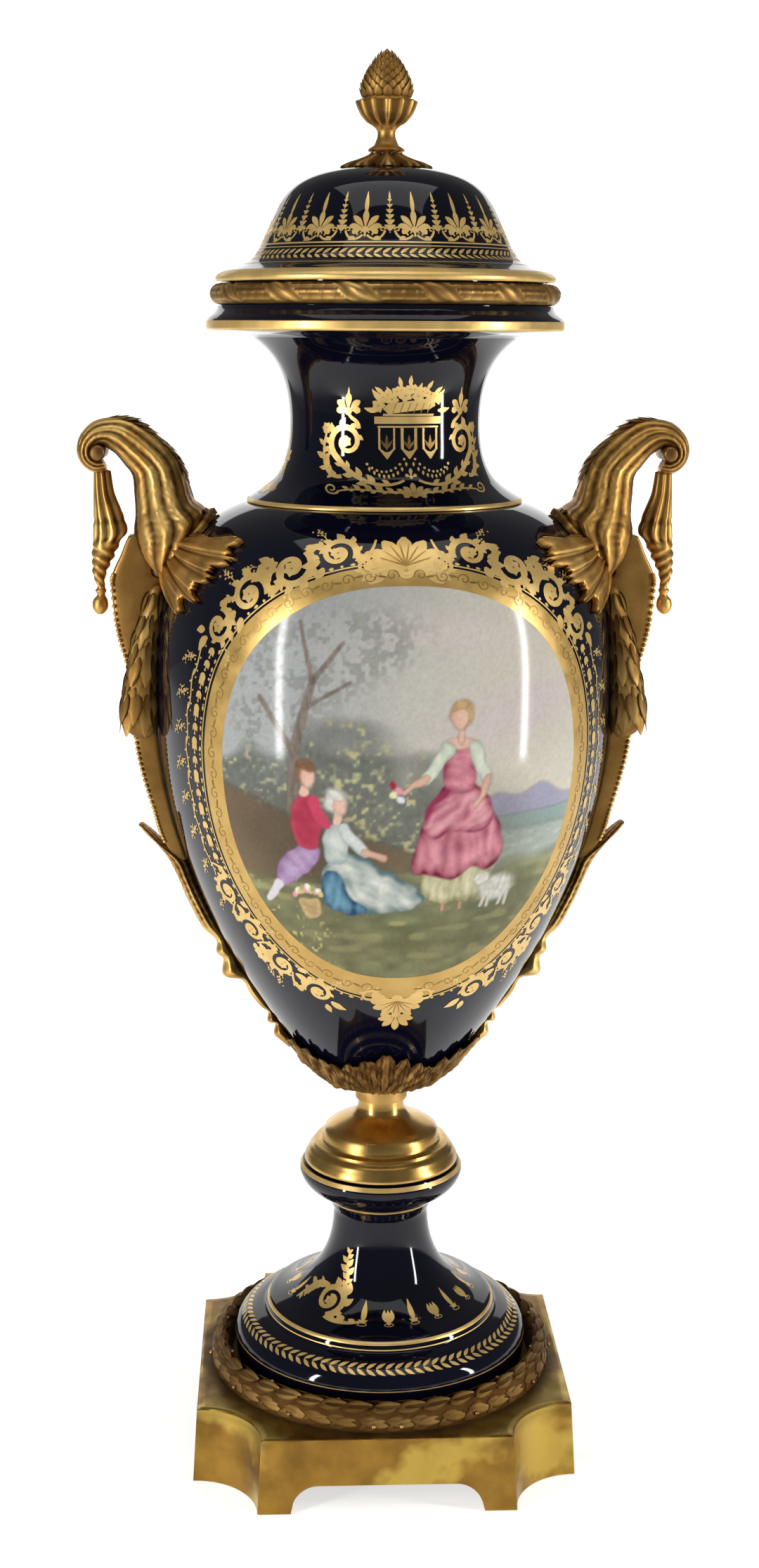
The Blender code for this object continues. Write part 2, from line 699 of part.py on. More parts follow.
def build_garland(side, word, face):
    # height above the widest line, inner and outer edge off the body, thickness across
    leaves = ((0.0675, 0.0020, 0.0090, 0.0080), (0.0500, 0.0004, 0.0108, 0.0095),
              (0.0380, 0.0004, 0.0132, 0.0100), (0.0260, 0.0004, 0.0152, 0.0115),
              (0.0140, 0.0004, 0.0176, 0.0115), (0.0040, 0.0004, 0.0192, 0.0125),
              (-0.0085, 0.0004, 0.0200, 0.0130), (-0.0165, 0.0020, 0.0168, 0.0100),
              (-0.0202, 0.0060, 0.0110, 0.0050))
    stations = []
    for up, inner, outer, thick in leaves:
        level = level_at(up)
        skin = body_radius(level) + seam
        near = bracket_half_width + seam
        limits = (near, near + thick) if face == "back" else (-near - thick, -near)
        stations.append(((skin + outer, level), (skin + inner, level), *limits))
    name = "garland_" + face + "_" + word
    add(name, cast(side, stations, 10, square=0.75), bronze(name))


def build_lower_mount(side, word):
    # height on the body above the widest line, standoff of the outer edge, half width
    curl = ((-0.0670, 0.0212, 0.0197, 0.0035), (-0.0735, 0.0170, 0.0146, 0.0075),
            (-0.0806, 0.0134, 0.0098, 0.0105))
    ridge = ((-0.0907, 0.0107, 0.0120), (-0.1012, 0.0096, 0.0125), (-0.1108, 0.0101, 0.0110),
             (-0.1202, 0.0102, 0.0095), (-0.1304, 0.0104, 0.0080), (-0.1410, 0.0090, 0.0062),
             (-0.1470, 0.0082, 0.0075), (-0.1587, 0.0096, 0.0072), (-0.1640, 0.0060, 0.0045),
             (-0.1786, 0.0056, 0.0045), (-0.1851, 0.0033, 0.0035), (-0.1881, 0.0047, 0.0048),
             (-0.1950, 0.0066, 0.0056), (-0.1990, 0.0060, 0.0050))
    stations = []
    for up, outer, inner, half in curl:
        stations.append((on_body(level_at(up), outer), on_body(level_at(up), inner), -half, half))
    for up, standoff, half in ridge:
        stations.append((on_body(level_at(up), standoff), on_body(level_at(up), mount_gap), -half, half))
    add("lower_mount_" + word, cast(side, stations, 10, square=0.8), bronze("lower_mount_" + word))


for old in list(bpy.data.objects):
    bpy.data.objects.remove(old, do_unlink=True)

build_base()
build_foot()
build_stem()
build_leaf_cup()
build_body()
build_neck()
build_rim_ring()
build_lid()
build_finial()
for side, word in ((-1, "left"), (1, "right")):
    build_handle(side, word)
    build_drape(side, word)
    build_bracket(side, word)
    for face in ("front", "back"):
        build_garland(side, word, face)
    build_lower_mount(side, word)
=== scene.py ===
import bpy
import bmesh
import numpy as np
from math import atan2, cos, degrees, pi, radians, sin, tau
from mathutils import Matrix, Vector


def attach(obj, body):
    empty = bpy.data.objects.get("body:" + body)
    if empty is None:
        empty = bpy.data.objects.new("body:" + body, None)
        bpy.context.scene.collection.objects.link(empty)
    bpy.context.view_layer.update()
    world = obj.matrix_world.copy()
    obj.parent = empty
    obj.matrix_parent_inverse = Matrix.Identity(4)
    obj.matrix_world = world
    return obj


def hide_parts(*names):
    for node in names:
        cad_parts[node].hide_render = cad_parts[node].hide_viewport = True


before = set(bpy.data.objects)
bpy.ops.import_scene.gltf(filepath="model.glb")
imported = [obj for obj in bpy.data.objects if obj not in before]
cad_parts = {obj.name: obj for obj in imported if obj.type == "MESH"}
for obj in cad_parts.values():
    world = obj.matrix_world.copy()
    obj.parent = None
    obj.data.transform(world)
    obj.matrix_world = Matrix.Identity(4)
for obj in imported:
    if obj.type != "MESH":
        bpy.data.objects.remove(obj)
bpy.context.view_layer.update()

# Urn body: porcelain, thrown in one piece, dark blue glaze inside and out, gilding fired over the glaze,
# and a landscape with resting figures painted in enamels inside a burnished gold frame.

wall = 0.0058
body_low = 0.2180
body_top = 0.5586
belly = 0.4465
belly_radius = 0.1282
cup_joint = (0.0430, 0.2336)
shoulder_joint = (0.0777, 0.5586)
mouth_radius = 0.0620


def curve(start, lead, settle, end, points):
    """Points along a cubic curve, from start to end."""
    t = np.linspace(0, 1, points + 1)[:, None]
    start, lead, settle, end = (np.array(p, float) for p in (start, lead, settle, end))
    return (1 - t) ** 3 * start + 3 * (1 - t) ** 2 * t * lead + 3 * (1 - t) * t * t * settle + t ** 3 * end


def measured(outline):
    """A turned outside from bottom to top: arc length, radius, height and outward direction."""
    line = np.array(outline, float)
    along = np.concatenate(([0.0], np.cumsum(np.hypot(*np.diff(line, axis=0).T))))
    slope = np.gradient(line, along, axis=0)
    slope /= np.hypot(*slope.T)[:, None]
    return along, line[:, 0], line[:, 1], slope[:, 1], -slope[:, 0]


def laid(skin, turn, along, lift):
    """Points on a turned outside. A turn of 0 faces the front and grows towards +X."""
    radius = np.interp(along, skin[0], skin[1]) + lift * np.interp(along, skin[0], skin[3])
    height = np.interp(along, skin[0], skin[2]) + lift * np.interp(along, skin[0], skin[4])
    return radius * np.sin(turn), -radius * np.cos(turn), height


def level(skin, height):
    """Arc length at a height on a turned outside."""
    return np.interp(height, skin[2], skin[0])


def show(name, mesh, *surfaces):
    piece = bpy.data.objects.new(name, mesh)
    bpy.context.scene.collection.objects.link(piece)
    for surface in surfaces:
        mesh.materials.append(surface)
    return piece


def lathe(name, outline, around, *surfaces, closed=True):
    """A turned piece: an outline of (radius, height) spun round the upright axis."""
    shape = bmesh.new()
    line = [shape.verts.new((radius, 0, height)) for radius, height in outline]
    following = line[1:] + line[:1] if closed else line[1:]
    for first, second in zip(line, following):
        shape.edges.new((first, second))
    bmesh.ops.spin(shape, geom=shape.verts[:] + shape.edges[:], cent=(0, 0, 0), axis=(0, 0, 1),
                   angle=tau, steps=around, use_merge=True)
    bmesh.ops.remove_doubles(shape, verts=shape.verts[:], dist=0.000003)
    bmesh.ops.recalc_face_normals(shape, faces=shape.faces[:])
    mesh = bpy.data.meshes.new(name)
    shape.to_mesh(mesh)
    shape.free()
    mesh.shade_smooth()
    mesh.set_sharp_from_angle(angle=0.8)
    return show(name, mesh, *surfaces)


def mapped(name, across, along, place, *surfaces, sharp=1.0, solid=0.0):
    """A grid bent to shape: for u and v in 0 to 1, place(u, v) gives x, y, z and a darkening share."""
    shape = bmesh.new()
    bmesh.ops.create_grid(shape, x_segments=across, y_segments=along, size=0.5)
    mesh = bpy.data.meshes.new(name)
    shape.to_mesh(mesh)
    flat = np.empty(3 * len(mesh.vertices))
    mesh.vertices.foreach_get("co", flat)
    x, y, z, hollow_and_shade = place(flat[0::3] + 0.5, flat[1::3] + 0.5)
    mesh.vertices.foreach_set("co", np.stack([x, y, z], axis=1).ravel())
    relief_and_shade = mesh.attributes.new("hollow_and_shade", "FLOAT", "POINT")
    relief_and_shade.data.foreach_set("value", np.broadcast_to(hollow_and_shade, x.shape).copy())
    shape.clear()
    shape.from_mesh(mesh)
    bmesh.ops.remove_doubles(shape, verts=shape.verts[:], dist=0.00001)
    bmesh.ops.recalc_face_normals(shape, faces=shape.faces[:])
    if solid:
        bmesh.ops.solidify(shape, geom=shape.faces[:], thickness=solid)
    shape.to_mesh(mesh)
    shape.free()
    mesh.shade_smooth()
    mesh.set_sharp_from_angle(angle=sharp)
    return show(name, mesh, *surfaces)


def finish(name, tones, scale, rough, metallic=0.0, patina_and_shade=None, grain=0.0, grain_scale=900.0):
    """A surface of two tones that drift into each other, made darker where the mesh's darkening attribute is
    high: patina in the hollows of chased work, and painted shade on some pieces.
    """
    surface = bpy.data.materials.new(name)
    surface.use_nodes = True
    nodes, links = surface.node_tree.nodes, surface.node_tree.links
    shader = nodes["Principled BSDF"]
    shader.inputs["Metallic"].default_value = metallic
    shader.inputs["Specular IOR Level"].default_value = 0.5 if metallic else 0.33
    place = nodes.new("ShaderNodeTexCoord")

    def noise(size, detail):
        cloud = nodes.new("ShaderNodeTexNoise")
        cloud.inputs["Scale"].default_value = size
        cloud.inputs["Detail"].default_value = detail
        links.new(place.outputs["Object"], cloud.inputs["Vector"])
        return cloud.outputs["Fac"]

    def spread(value, low, high, start=0.35, end=0.65):
        change = nodes.new("ShaderNodeMapRange")
        for socket, amount in (("From Min", start), ("From Max", end), ("To Min", low), ("To Max", high)):
            change.inputs[socket].default_value = amount
        links.new(value, change.inputs["Value"])
        return change.outputs["Result"]

    def blend(share, first, second):
        mix = nodes.new("ShaderNodeMix")
        mix.data_type = "RGBA"
        links.new(share, mix.inputs[0])
        for socket, colour in ((mix.inputs[6], first), (mix.inputs[7], second)):
            if isinstance(colour, tuple):
                socket.default_value = (*colour, 1.0)
            else:
                links.new(colour, socket)
        return mix.outputs[2]

    colour = blend(spread(noise(scale, 3.0), 0.0, 1.0), tones[0], tones[1])
    if len(tones) > 2:
        patches = spread(noise(scale * 0.37, 4.0), 0.0, 1.0, start=0.52, end=0.58)
        colour = blend(patches, colour, tones[2])
    roughness = spread(noise(scale * 1.7, 4.0), rough[0], rough[1])
    # Darkening from the mesh attribute: patina in chased hollows, and painted shade on the base, the wreath
    # and laurel cores and the scrolls' inner sides.
    if patina_and_shade:
        relief_and_shade = nodes.new("ShaderNodeAttribute")
        relief_and_shade.attribute_name = "hollow_and_shade"
        darkened = spread(relief_and_shade.outputs["Fac"], 0.0, 1.0, start=0.25, end=1.0)
        colour = blend(darkened, colour, patina_and_shade)
        dull = nodes.new("ShaderNodeMath")
        dull.operation = "MULTIPLY_ADD"
        links.new(darkened, dull.inputs[0])
        dull.inputs[1].default_value = 0.25
        links.new(roughness, dull.inputs[2])
        roughness = dull.outputs[0]
    links.new(colour, shader.inputs["Base Color"])
    links.new(roughness, shader.inputs["Roughness"])
    if grain:
        bump = nodes.new("ShaderNodeBump")
        bump.inputs["Strength"].default_value = grain
        bump.inputs["Distance"].default_value = 0.0003
        links.new(noise(grain_scale, 3.0), bump.inputs["Height"])
        links.new(bump.outputs["Normal"], shader.inputs["Normal"])
    return surface


def glaze(name):
    blues = ((0.0016, 0.0018, 0.0062), (0.0028, 0.0030, 0.0110))
    return finish(name, blues, scale=14.0, rough=(0.035, 0.06))


def gilding(name, tones=((0.84, 0.585, 0.22), (0.72, 0.475, 0.155))):
    return finish(name, tones, scale=60.0, rough=(0.28, 0.44), metallic=0.62, grain=0.05)


def etching(name):
    browns = ((0.30, 0.18, 0.05), (0.42, 0.26, 0.08))
    return finish(name, browns, scale=90.0, rough=(0.35, 0.5), metallic=1.0)


lower = curve(cup_joint, (0.1246, 0.3358), (belly_radius, 0.4139), (belly_radius, belly), 60)
upper = curve((belly_radius, belly), (belly_radius, 0.4992), (0.1255, 0.5414), shoulder_joint, 46)
underside = curve((0.0150, body_low), (0.0270, 0.2183), (0.0360, 0.2264), cup_joint, 12)
body_side = np.vstack([underside, lower[1:], upper[1:]])
body_skin = measured(body_side)
inside = np.stack(np.array(laid(body_skin, pi / 2, body_skin[0][14:-8:3], -wall))[[0, 2]], axis=1)
outline = np.vstack([(0, body_low), body_side, (mouth_radius, body_top), inside[::-1], (0, body_low + wall)])
body = lathe("urn_body", outline, 192, glaze("body_glaze"), closed=False)
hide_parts("body")
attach(body, "root")

# Painted panel on the body: enamels brushed on a white reserve in the blue and fired, in an upright
# rounded shape that is a little narrower below.

panel_turn = radians(3.2)
panel_height = 0.4185
panel_reach = ((47.5, 0.1063, 0.1095), (54.0, 0.1161, 0.1235), (67.0, 0.1340, 0.1430))
panel_power = (2.33, 2.4)
picture_ring = 0.12
paint_lift = 0.00005


def panel_limits(ring):
    """Half width in radians and reach up and down, at ring 0 (picture), 1 (frame) or 2 (border)."""
    half, up, down = (np.interp(ring, (0, 1, 2), values) for values in zip(*panel_reach))
    return np.radians(half), up, down


def panel_place(angle, ring):
    """Turn and arc length on the body of a place round the panel. An angle of a quarter turn is its top."""
    half, up, down = panel_limits(ring)
    across, rise = np.cos(angle), np.sin(angle)
    power = np.where(rise > 0, *panel_power)
    turn = panel_turn + half * np.sign(across) * np.abs(across) ** (2 / power)
    height = panel_height + np.where(rise > 0, up, down) * np.sign(rise) * np.abs(rise) ** (2 / power)
    return turn, level(body_skin, height)


def value_noise(x, y, size, seed):
    """Soft random patches about size across, from 0 to 1."""
    x, y = x / size + seed * 13.7, y / size + seed * 7.3
    cell_x, cell_y = np.floor(x), np.floor(y)
    fade_x, fade_y = x - cell_x, y - cell_y
    fade_x, fade_y = fade_x * fade_x * (3 - 2 * fade_x), fade_y * fade_y * (3 - 2 * fade_y)

    def corner(i, j):
        return np.modf(np.sin((cell_x + i) * 127.1 + (cell_y + j) * 311.7) * 43758.5453)[0] % 1.0

    low = corner(0, 0) * (1 - fade_x) + corner(1, 0) * fade_x
    high = corner(0, 1) * (1 - fade_x) + corner(1, 1) * fade_x
    return low * (1 - fade_y) + high * fade_y


def soft(value, start, end):
    share = np.clip((value - start) / (end - start), 0, 1)
    return share * share * (3 - 2 * share)


def picture(x, y):
    """Colour of the painting at x across and y up from the panel's middle, in millimetres."""
    colour = np.zeros((len(x), 3))

    def lay(mask, tone, tone_low=None, shade=None):
        mask, rim = mask if isinstance(mask, tuple) else (mask, 0.0)
        mask = np.clip(mask, 0, 1)
        tone = np.array(tone, float)
        if tone_low is not None:
            tone = tone + (np.array(tone_low, float) - tone) * np.clip(shade + 0.6 * rim, 0, 1.15)[:, None]
        colour[:] += (tone - colour) * mask[:, None]
        if tone_low is not None:
            colour[:] *= 1 - 0.7 * (mask * (1 - mask))[:, None]

    def ellipse(cx, cy, rx, ry, lean=0, edge=0.25):
        c, s = cos(radians(lean)), sin(radians(lean))
        u, v = ((x - cx) * c + (y - cy) * s) / rx, ((y - cy) * c - (x - cx) * s) / ry
        return 1 - soft(np.hypot(u, v), 1 - edge, 1 + edge)

    def limb(start, end, wide_start, wide_end):
        ax, ay, bx, by = *start, *end
        length = (bx - ax) ** 2 + (by - ay) ** 2
        share = np.clip(((x - ax) * (bx - ax) + (y - ay) * (by - ay)) / length, 0, 1)
        away = np.hypot(x - ax - share * (bx - ax), y - ay - share * (by - ay))
        wide = wide_start + (wide_end - wide_start) * share
        return 1 - soft(away - wide, -0.6, 0.6), soft(away, 0.3 * wide, wide)

    def patch(corners):
        for _ in range(2):
            ends = zip(corners, corners[1:] + corners[:1])
            corners = [(ax + (bx - ax) * cut, ay + (by - ay) * cut)
                       for (ax, ay), (bx, by) in ends for cut in (0.22, 0.78)]
        within = np.zeros(len(x), bool)
        away = np.full(len(x), 1e9)
        for (ax, ay), (bx, by) in zip(corners, corners[1:] + corners[:1]):
            if ay != by:
                within ^= ((ay > y) != (by > y)) & (x < (bx - ax) * (y - ay) / (by - ay) + ax)
            share = np.clip(((x - ax) * (bx - ax) + (y - ay) * (by - ay))
                            / ((bx - ax) ** 2 + (by - ay) ** 2), 0, 1)
            away = np.minimum(away, np.hypot(x - ax - share * (bx - ax), y - ay - share * (by - ay)))
        return soft(np.where(within, away, -away), -0.7, 0.7), 1 - soft(away, 0, 5.0)

    def folds(lean, pitch, seed):
        c, s = cos(radians(lean)), sin(radians(lean))
        wander = pitch * (1.5 * value_noise(x, y, 13.0, seed) + 0.5 * value_noise(x, y, 4.0, seed + 1))
        across = x * c + y * s
        crease = np.sin((across + wander) * tau / (1.5 * pitch))
        crease += 0.5 * np.sin((across - wander) * tau / pitch)
        return np.clip(0.42 + 0.15 * crease + 0.6 * (value_noise(x, y, 7.0, seed + 3) - 0.5), 0, 1)

    # sky, grey to the left and warm to the right
    haze = value_noise(x, y, 38, 1) * 0.6 + value_noise(x, y, 16, 2) * 0.4
    side = soft(x + 14 * haze, -70, 75)
    lay(np.ones(len(x)), (0.40, 0.41, 0.40), (0.60, 0.56, 0.475), side)
    lay(soft(y, 60, 110) * (1 - side) * 0.5, (0.30, 0.31, 0.31))
    lay(soft(y + 6 * haze, 45, -5) * side * 0.5, (0.66, 0.62, 0.50))
    lay(ellipse(62, 40, 44, 14, 12, 0.8) * 0.55, (0.60, 0.50, 0.52))
    lay(ellipse(30, 82, 36, 9, -8, 0.8) * 0.4, (0.66, 0.56, 0.54))
    # far hills, shore and water
    ridge = -9 + 9 * np.exp(-((x - 80) / 13) ** 2) + 6 * np.exp(-((x - 52) / 12) ** 2) + 2 * haze
    lay(soft(ridge - y, -1.5, 2.5) * soft(x, 18, 40), (0.30, 0.30, 0.42), (0.46, 0.43, 0.52), haze)
    shore = -17 + 2.5 * haze + 0.02 * x
    lay(soft(shore - y, -1.0, 1.5) * soft(x, 5, 30), (0.24, 0.33, 0.32), (0.34, 0.42, 0.36), haze)
    lay(soft(-22 - y, -1.5, 4), (0.34, 0.40, 0.36), (0.46, 0.50, 0.40), haze)
    ripple = value_noise(x * 0.22, y, 1.6, 5)
    lay(soft(-24 - y, -2, 4) * soft(x, 20, 46) * soft(ripple, 0.55, 0.9) * 0.5, (0.55, 0.62, 0.58))
    # bushes, tree crowns and trunks to the left
    leaf = value_noise(x, y, 2.1, 3) * 0.55 + value_noise(x, y, 4.6, 4) * 0.45
    mass = value_noise(x, y, 17, 6)
    bushes = (soft(34 - y + 26 * (mass - 0.5) - 0.28 * np.abs(x + 52), -6, 9)
              * soft(24 - x + 16 * (mass - 0.5), -8, 10))
    lay(bushes * 0.9, (0.09, 0.10, 0.085), (0.19, 0.20, 0.165), leaf)
    lay(bushes * soft(leaf, 0.55, 0.68) * soft(mass, 0.3, 0.7), (0.34, 0.35, 0.20))
    lay(bushes * soft(leaf, 0.70, 0.80) * 0.9, (0.54, 0.50, 0.25))
    crown = (ellipse(-58, 62, 42, 26, 18, 0.55) + ellipse(-22, 78, 30, 15, 6, 0.6)
             + ellipse(-74, 30, 20, 22, 0, 0.6))
    crown = np.clip(crown, 0, 1)
    lay(crown * soft(leaf + 0.25 * (mass - 0.5), 0.44, 0.60) * 0.5, (0.17, 0.18, 0.17))
    lay(crown * soft(leaf, 0.66, 0.78) * 0.55, (0.36, 0.37, 0.29))
    bark = value_noise(x * 2.5, y * 0.5, 3, 7)
    for start, end, wide in (((-63, -22), (-60, 22), 4.0), ((-60, 22), (-50, 58), 2.8),
                             ((-60, 20), (-80, 48), 1.9), ((-50, 58), (-34, 78), 1.4),
                             ((-54, 44), (-30, 58), 1.1), ((-50, 58), (-58, 88), 1.3)):
        lay(limb(start, end, wide, wide * 0.68)[0] * 0.85, (0.16, 0.12, 0.10), (0.30, 0.24, 0.19), bark)
    # bank and meadow in front
    bank = -20 - 0.30 * (x + 40) + 5 * (mass - 0.5)
    lay(soft(bank - y, -2, 4) * soft(8 - x + 10 * mass, -6, 14), (0.10, 0.065, 0.035), (0.20, 0.145, 0.08),
        haze)
    meadow = soft(-46 - y + 8 * (mass - 0.5) + 0.06 * x, -5, 8)
    lay(meadow, (0.13, 0.145, 0.06), (0.32, 0.33, 0.16), value_noise(x * 0.5, y, 5, 8))
    lay(meadow * soft(value_noise(x * 0.3, y, 4.2, 9), 0.55, 0.85) * 0.75, (0.44, 0.43, 0.19))
    lay(soft(-72 - y + 0.25 * np.abs(x + 10), -10, 22) * 0.55, (0.10, 0.085, 0.04))
    lay(meadow * soft(leaf, 0.70, 0.80) * soft(-30 - x, 0, 30), (0.48, 0.42, 0.16))
    # shade below the figures, and the wavering edge of brush work
    skin, rose, wine = (0.76, 0.50, 0.37), (0.74, 0.31, 0.36), (0.34, 0.015, 0.05)
    arm = (skin, (0.56, 0.33, 0.24))
    white_cap = ((0.80, 0.78, 0.70), (0.50, 0.49, 0.46))
    dark_hair = ((0.17, 0.08, 0.04), (0.30, 0.16, 0.08))
    fair_hair = ((0.42, 0.25, 0.11), (0.62, 0.42, 0.21))
    sleeve = ((0.74, 0.76, 0.62), (0.46, 0.52, 0.42))
    lay(ellipse(-48, -40, 42, 30, -24, 0.7) * 0.6, (0.07, 0.05, 0.03))
    lay(ellipse(38, -32, 34, 34, 0, 0.7) * 0.55, (0.11, 0.10, 0.08))
    x, y = x + 2.2 * (value_noise(x, y, 6.0, 31) - 0.5), y + 2.2 * (value_noise(x, y, 6.0, 32) - 0.5)
    # girl in white and blue, seated on the grass to the left
    lay(ellipse(-16, -66, 46, 6, 2, 0.6) * 0.6, (0.10, 0.11, 0.06))
    skirt = patch([(-46, -38), (-34, -30), (-22, -36), (2, -50), (16, -60), (2, -67), (-30, -68),
                   (-50, -62)])
    lay(skirt, (0.66, 0.68, 0.60), (0.16, 0.22, 0.22), folds(58, 6.5, 11))
    lay(patch([(-50, -62), (-46, -44), (-38, -44), (-32, -60), (-18, -67), (-40, -70)]), (0.17, 0.36, 0.46),
        (0.03, 0.09, 0.17), folds(-10, 5, 12))
    lay(patch([(-47, -38), (-45, -20), (-38, -15), (-31, -19), (-31, -36), (-38, -40)]), (0.64, 0.66, 0.60),
        (0.38, 0.44, 0.42), folds(70, 8, 13))
    lay(limb((-34, -20), (-22, -33), 3.4, 2.6), (0.78, 0.78, 0.72), (0.50, 0.54, 0.52), folds(0, 5, 14))
    lay(limb((-22, -33), (-12, -36), 2.0, 1.5), *arm, haze)
    lay(limb((-38, -15), (-37, -11), 2.1, 1.9), skin)
    lay(ellipse(-38.0, -4.4, 6.3, 6.8, 20), *white_cap, folds(60, 4, 15))
    lay(ellipse(-35.6, -6.6, 4.0, 5.2, -8), skin, (0.66, 0.38, 0.30), soft(-38 - x, -3, 3))
    lay(ellipse(-37.4, -1.4, 4.8, 2.6, -24), *white_cap, folds(60, 4, 15))
    # youth in a wine coat and lilac breeches, leaning on the bank
    lay(patch([(-74, -40), (-58, -27), (-47, -30), (-52, -42), (-68, -54), (-78, -56)]), (0.52, 0.38, 0.56),
        (0.30, 0.18, 0.34), folds(40, 7, 16))
    lay(limb((-76, -54), (-86, -64), 3.0, 2.0), (0.66, 0.62, 0.66))
    lay(patch([(-63, -28), (-64, -12), (-58, -2), (-50, -2), (-46, -14), (-48, -30), (-56, -34)]), wine,
        (0.44, 0.04, 0.08), folds(64, 7, 17))
    lay(limb((-50, -6), (-44, -18), 3.4, 2.8), (0.55, 0.05, 0.11))
    lay(limb((-55, -1), (-54, 3), 2.1, 1.9), skin)
    lay(ellipse(-54.2, 9.6, 6.0, 6.8, 6), *dark_hair, leaf)
    lay(ellipse(-52.6, 7.6, 4.2, 5.3, 6), skin, (0.66, 0.38, 0.30), soft(-55 - x, -3, 3))
    lay(ellipse(-53.4, 13.2, 4.8, 2.5, -14), *dark_hair, leaf)
    # lady in rose with a garland, seated on a rock to the right
    lay(patch([(18, -26), (30, -16), (50, -18), (58, -34), (52, -50), (20, -50), (12, -40)]),
        (0.22, 0.18, 0.13), (0.36, 0.31, 0.22), haze)
    for foot in (25, 36):
        lay(limb((foot, -58), (foot - 1, -67), 2.2, 1.5), skin, (0.44, 0.24, 0.16), haze)
    lay(patch([(8, -40), (30, -34), (54, -44), (52, -58), (40, -63), (20, -63), (8, -56)]),
        (0.68, 0.64, 0.42), (0.28, 0.25, 0.12), folds(4, 4.5, 19))
    gown = patch([(19, 4), (30, 8), (41, 2), (52, -16), (60, -36), (50, -46), (38, -42), (28, -50),
                  (16, -46), (2, -46), (8, -18)])
    lay(gown, rose, (0.24, 0.035, 0.07), folds(8, 7, 18))
    lay(patch([(14, 0), (30, 3), (46, -2), (50, -16), (40, -24), (28, -20), (14, -26), (8, -16)]),
        (0.80, 0.40, 0.43), (0.34, 0.07, 0.12), folds(-52, 5.5, 26))
    lay(patch([(20, 2), (19, 16), (23, 26), (33, 27), (38, 17), (38, 2), (30, -2)]), rose,
        (0.34, 0.08, 0.13), folds(80, 7, 20))
    lay(ellipse(28, 26.5, 7.6, 3.4, 0), skin, (0.60, 0.36, 0.26), haze)
    lay(limb((21, 23), (10, 8), 4.0, 3.2), *sleeve, folds(30, 5, 21))
    lay(limb((36, 23), (44, 6), 4.0, 3.0), *sleeve, folds(-20, 5, 22))
    lay(limb((10, 8), (-1, 1), 2.0, 1.5), *arm, haze)
    lay(limb((44, 6), (38, -8), 2.0, 1.5), *arm, haze)
    lay(limb((28, 28), (28, 34), 2.5, 2.3), skin, (0.58, 0.35, 0.26), haze)
    lay(ellipse(28.4, 41.8, 6.6, 7.4, -6), *fair_hair, leaf)
    lay(ellipse(27.0, 39.2, 4.6, 5.9, 6), skin, (0.68, 0.40, 0.31), soft(26 - x, -3, 3))
    lay(ellipse(28.0, 45.6, 5.4, 2.7, 14), *fair_hair, leaf)
    for cx, cy, tone in ((-4, 2, rose), (-7, -1, (0.80, 0.74, 0.40)), (-3, -3, (0.70, 0.70, 0.74)),
                         (-8, 4, wine)):
        lay(ellipse(cx, cy, 2.2, 2.0), tone)
    # lamb and basket of flowers in front
    lay(ellipse(60, -66, 22, 3.4, 0, 0.6) * 0.5, (0.12, 0.14, 0.07))
    fleece = value_noise(x, y, 2.4, 23)
    lay(ellipse(58, -56, 12, 7.4, 4), (0.74, 0.72, 0.64), (0.46, 0.45, 0.40), fleece)
    for foot in (50, 54, 63, 67):
        lay(limb((foot, -60), (foot + 0.5, -67), 1.5, 1.0), (0.56, 0.53, 0.46))
    lay(ellipse(46.5, -50, 4.8, 3.8, 24), (0.78, 0.76, 0.68), (0.52, 0.48, 0.42), fleece)
    lay(patch([(-66, -62), (-50, -60), (-52, -73), (-63, -74)]), (0.34, 0.22, 0.10), (0.52, 0.37, 0.18),
        folds(90, 2.2, 24))
    blooms = (rose, (0.80, 0.76, 0.66), (0.62, 0.52, 0.18), (0.28, 0.36, 0.18))
    for number in range(11):
        cx, cy = -66 + 1.6 * number, -59 + 3.4 * sin(pi * number / 10) + 1.2 * (number % 2)
        lay(ellipse(cx, cy, 2.0, 1.8), blooms[number % 4])
    worked = value_noise(x, y, 1.1, 25) - 0.5
    return np.clip(colour * (0.95 + 0.16 * worked[:, None]), 0, 1)


def panel_grid(u, v):
    half, up, down = panel_limits(picture_ring)
    x = (2 * u - 1) * half * belly_radius
    y = v * (up + down) - down
    along = level(body_skin, panel_height + y)
    px, py, pz = laid(body_skin, panel_turn + x / belly_radius, along, paint_lift)
    return px, py, pz, 0.0


painting = mapped("painted_panel", 238, 258, panel_grid)
mesh = painting.data
flat = np.empty(3 * len(mesh.vertices))
mesh.vertices.foreach_get("co", flat)
turn = np.arctan2(flat[0::3], -flat[1::3]) - panel_turn
rise = flat[2::3] - panel_height
pigment = picture(turn * belly_radius * 1000, rise * 1000)
layer = mesh.color_attributes.new("pigment", "FLOAT_COLOR", "POINT")
layer.data.foreach_set("color", np.column_stack([pigment, np.ones(len(pigment))]).ravel())
half, up, down = panel_limits(picture_ring)
power = np.where(rise > 0, *panel_power)
beyond = np.abs(turn / half) ** power + np.abs(rise / np.where(rise > 0, up, down)) ** power > 1
shape = bmesh.new()
shape.from_mesh(mesh)
shape.verts.ensure_lookup_table()
bmesh.ops.delete(shape, geom=[shape.verts[i] for i in np.flatnonzero(beyond)], context="VERTS")
shape.to_mesh(mesh)
shape.free()
enamel = bpy.data.materials.new("panel_enamel")
enamel.use_nodes = True
nodes, links = enamel.node_tree.nodes, enamel.node_tree.links
hues = nodes.new("ShaderNodeVertexColor")
hues.layer_name = "pigment"
links.new(hues.outputs["Color"], nodes["Principled BSDF"].inputs["Base Color"])
nodes["Principled BSDF"].inputs["Roughness"].default_value = 0.11
nodes["Principled BSDF"].inputs["Specular IOR Level"].default_value = 0.20
mesh.materials.append(enamel)
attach(painting, "root")

# Panel frame on the body: a band of gold laid over the panel's edge, fired on and burnished with a
# stone, with fine scrollwork left matt on it.

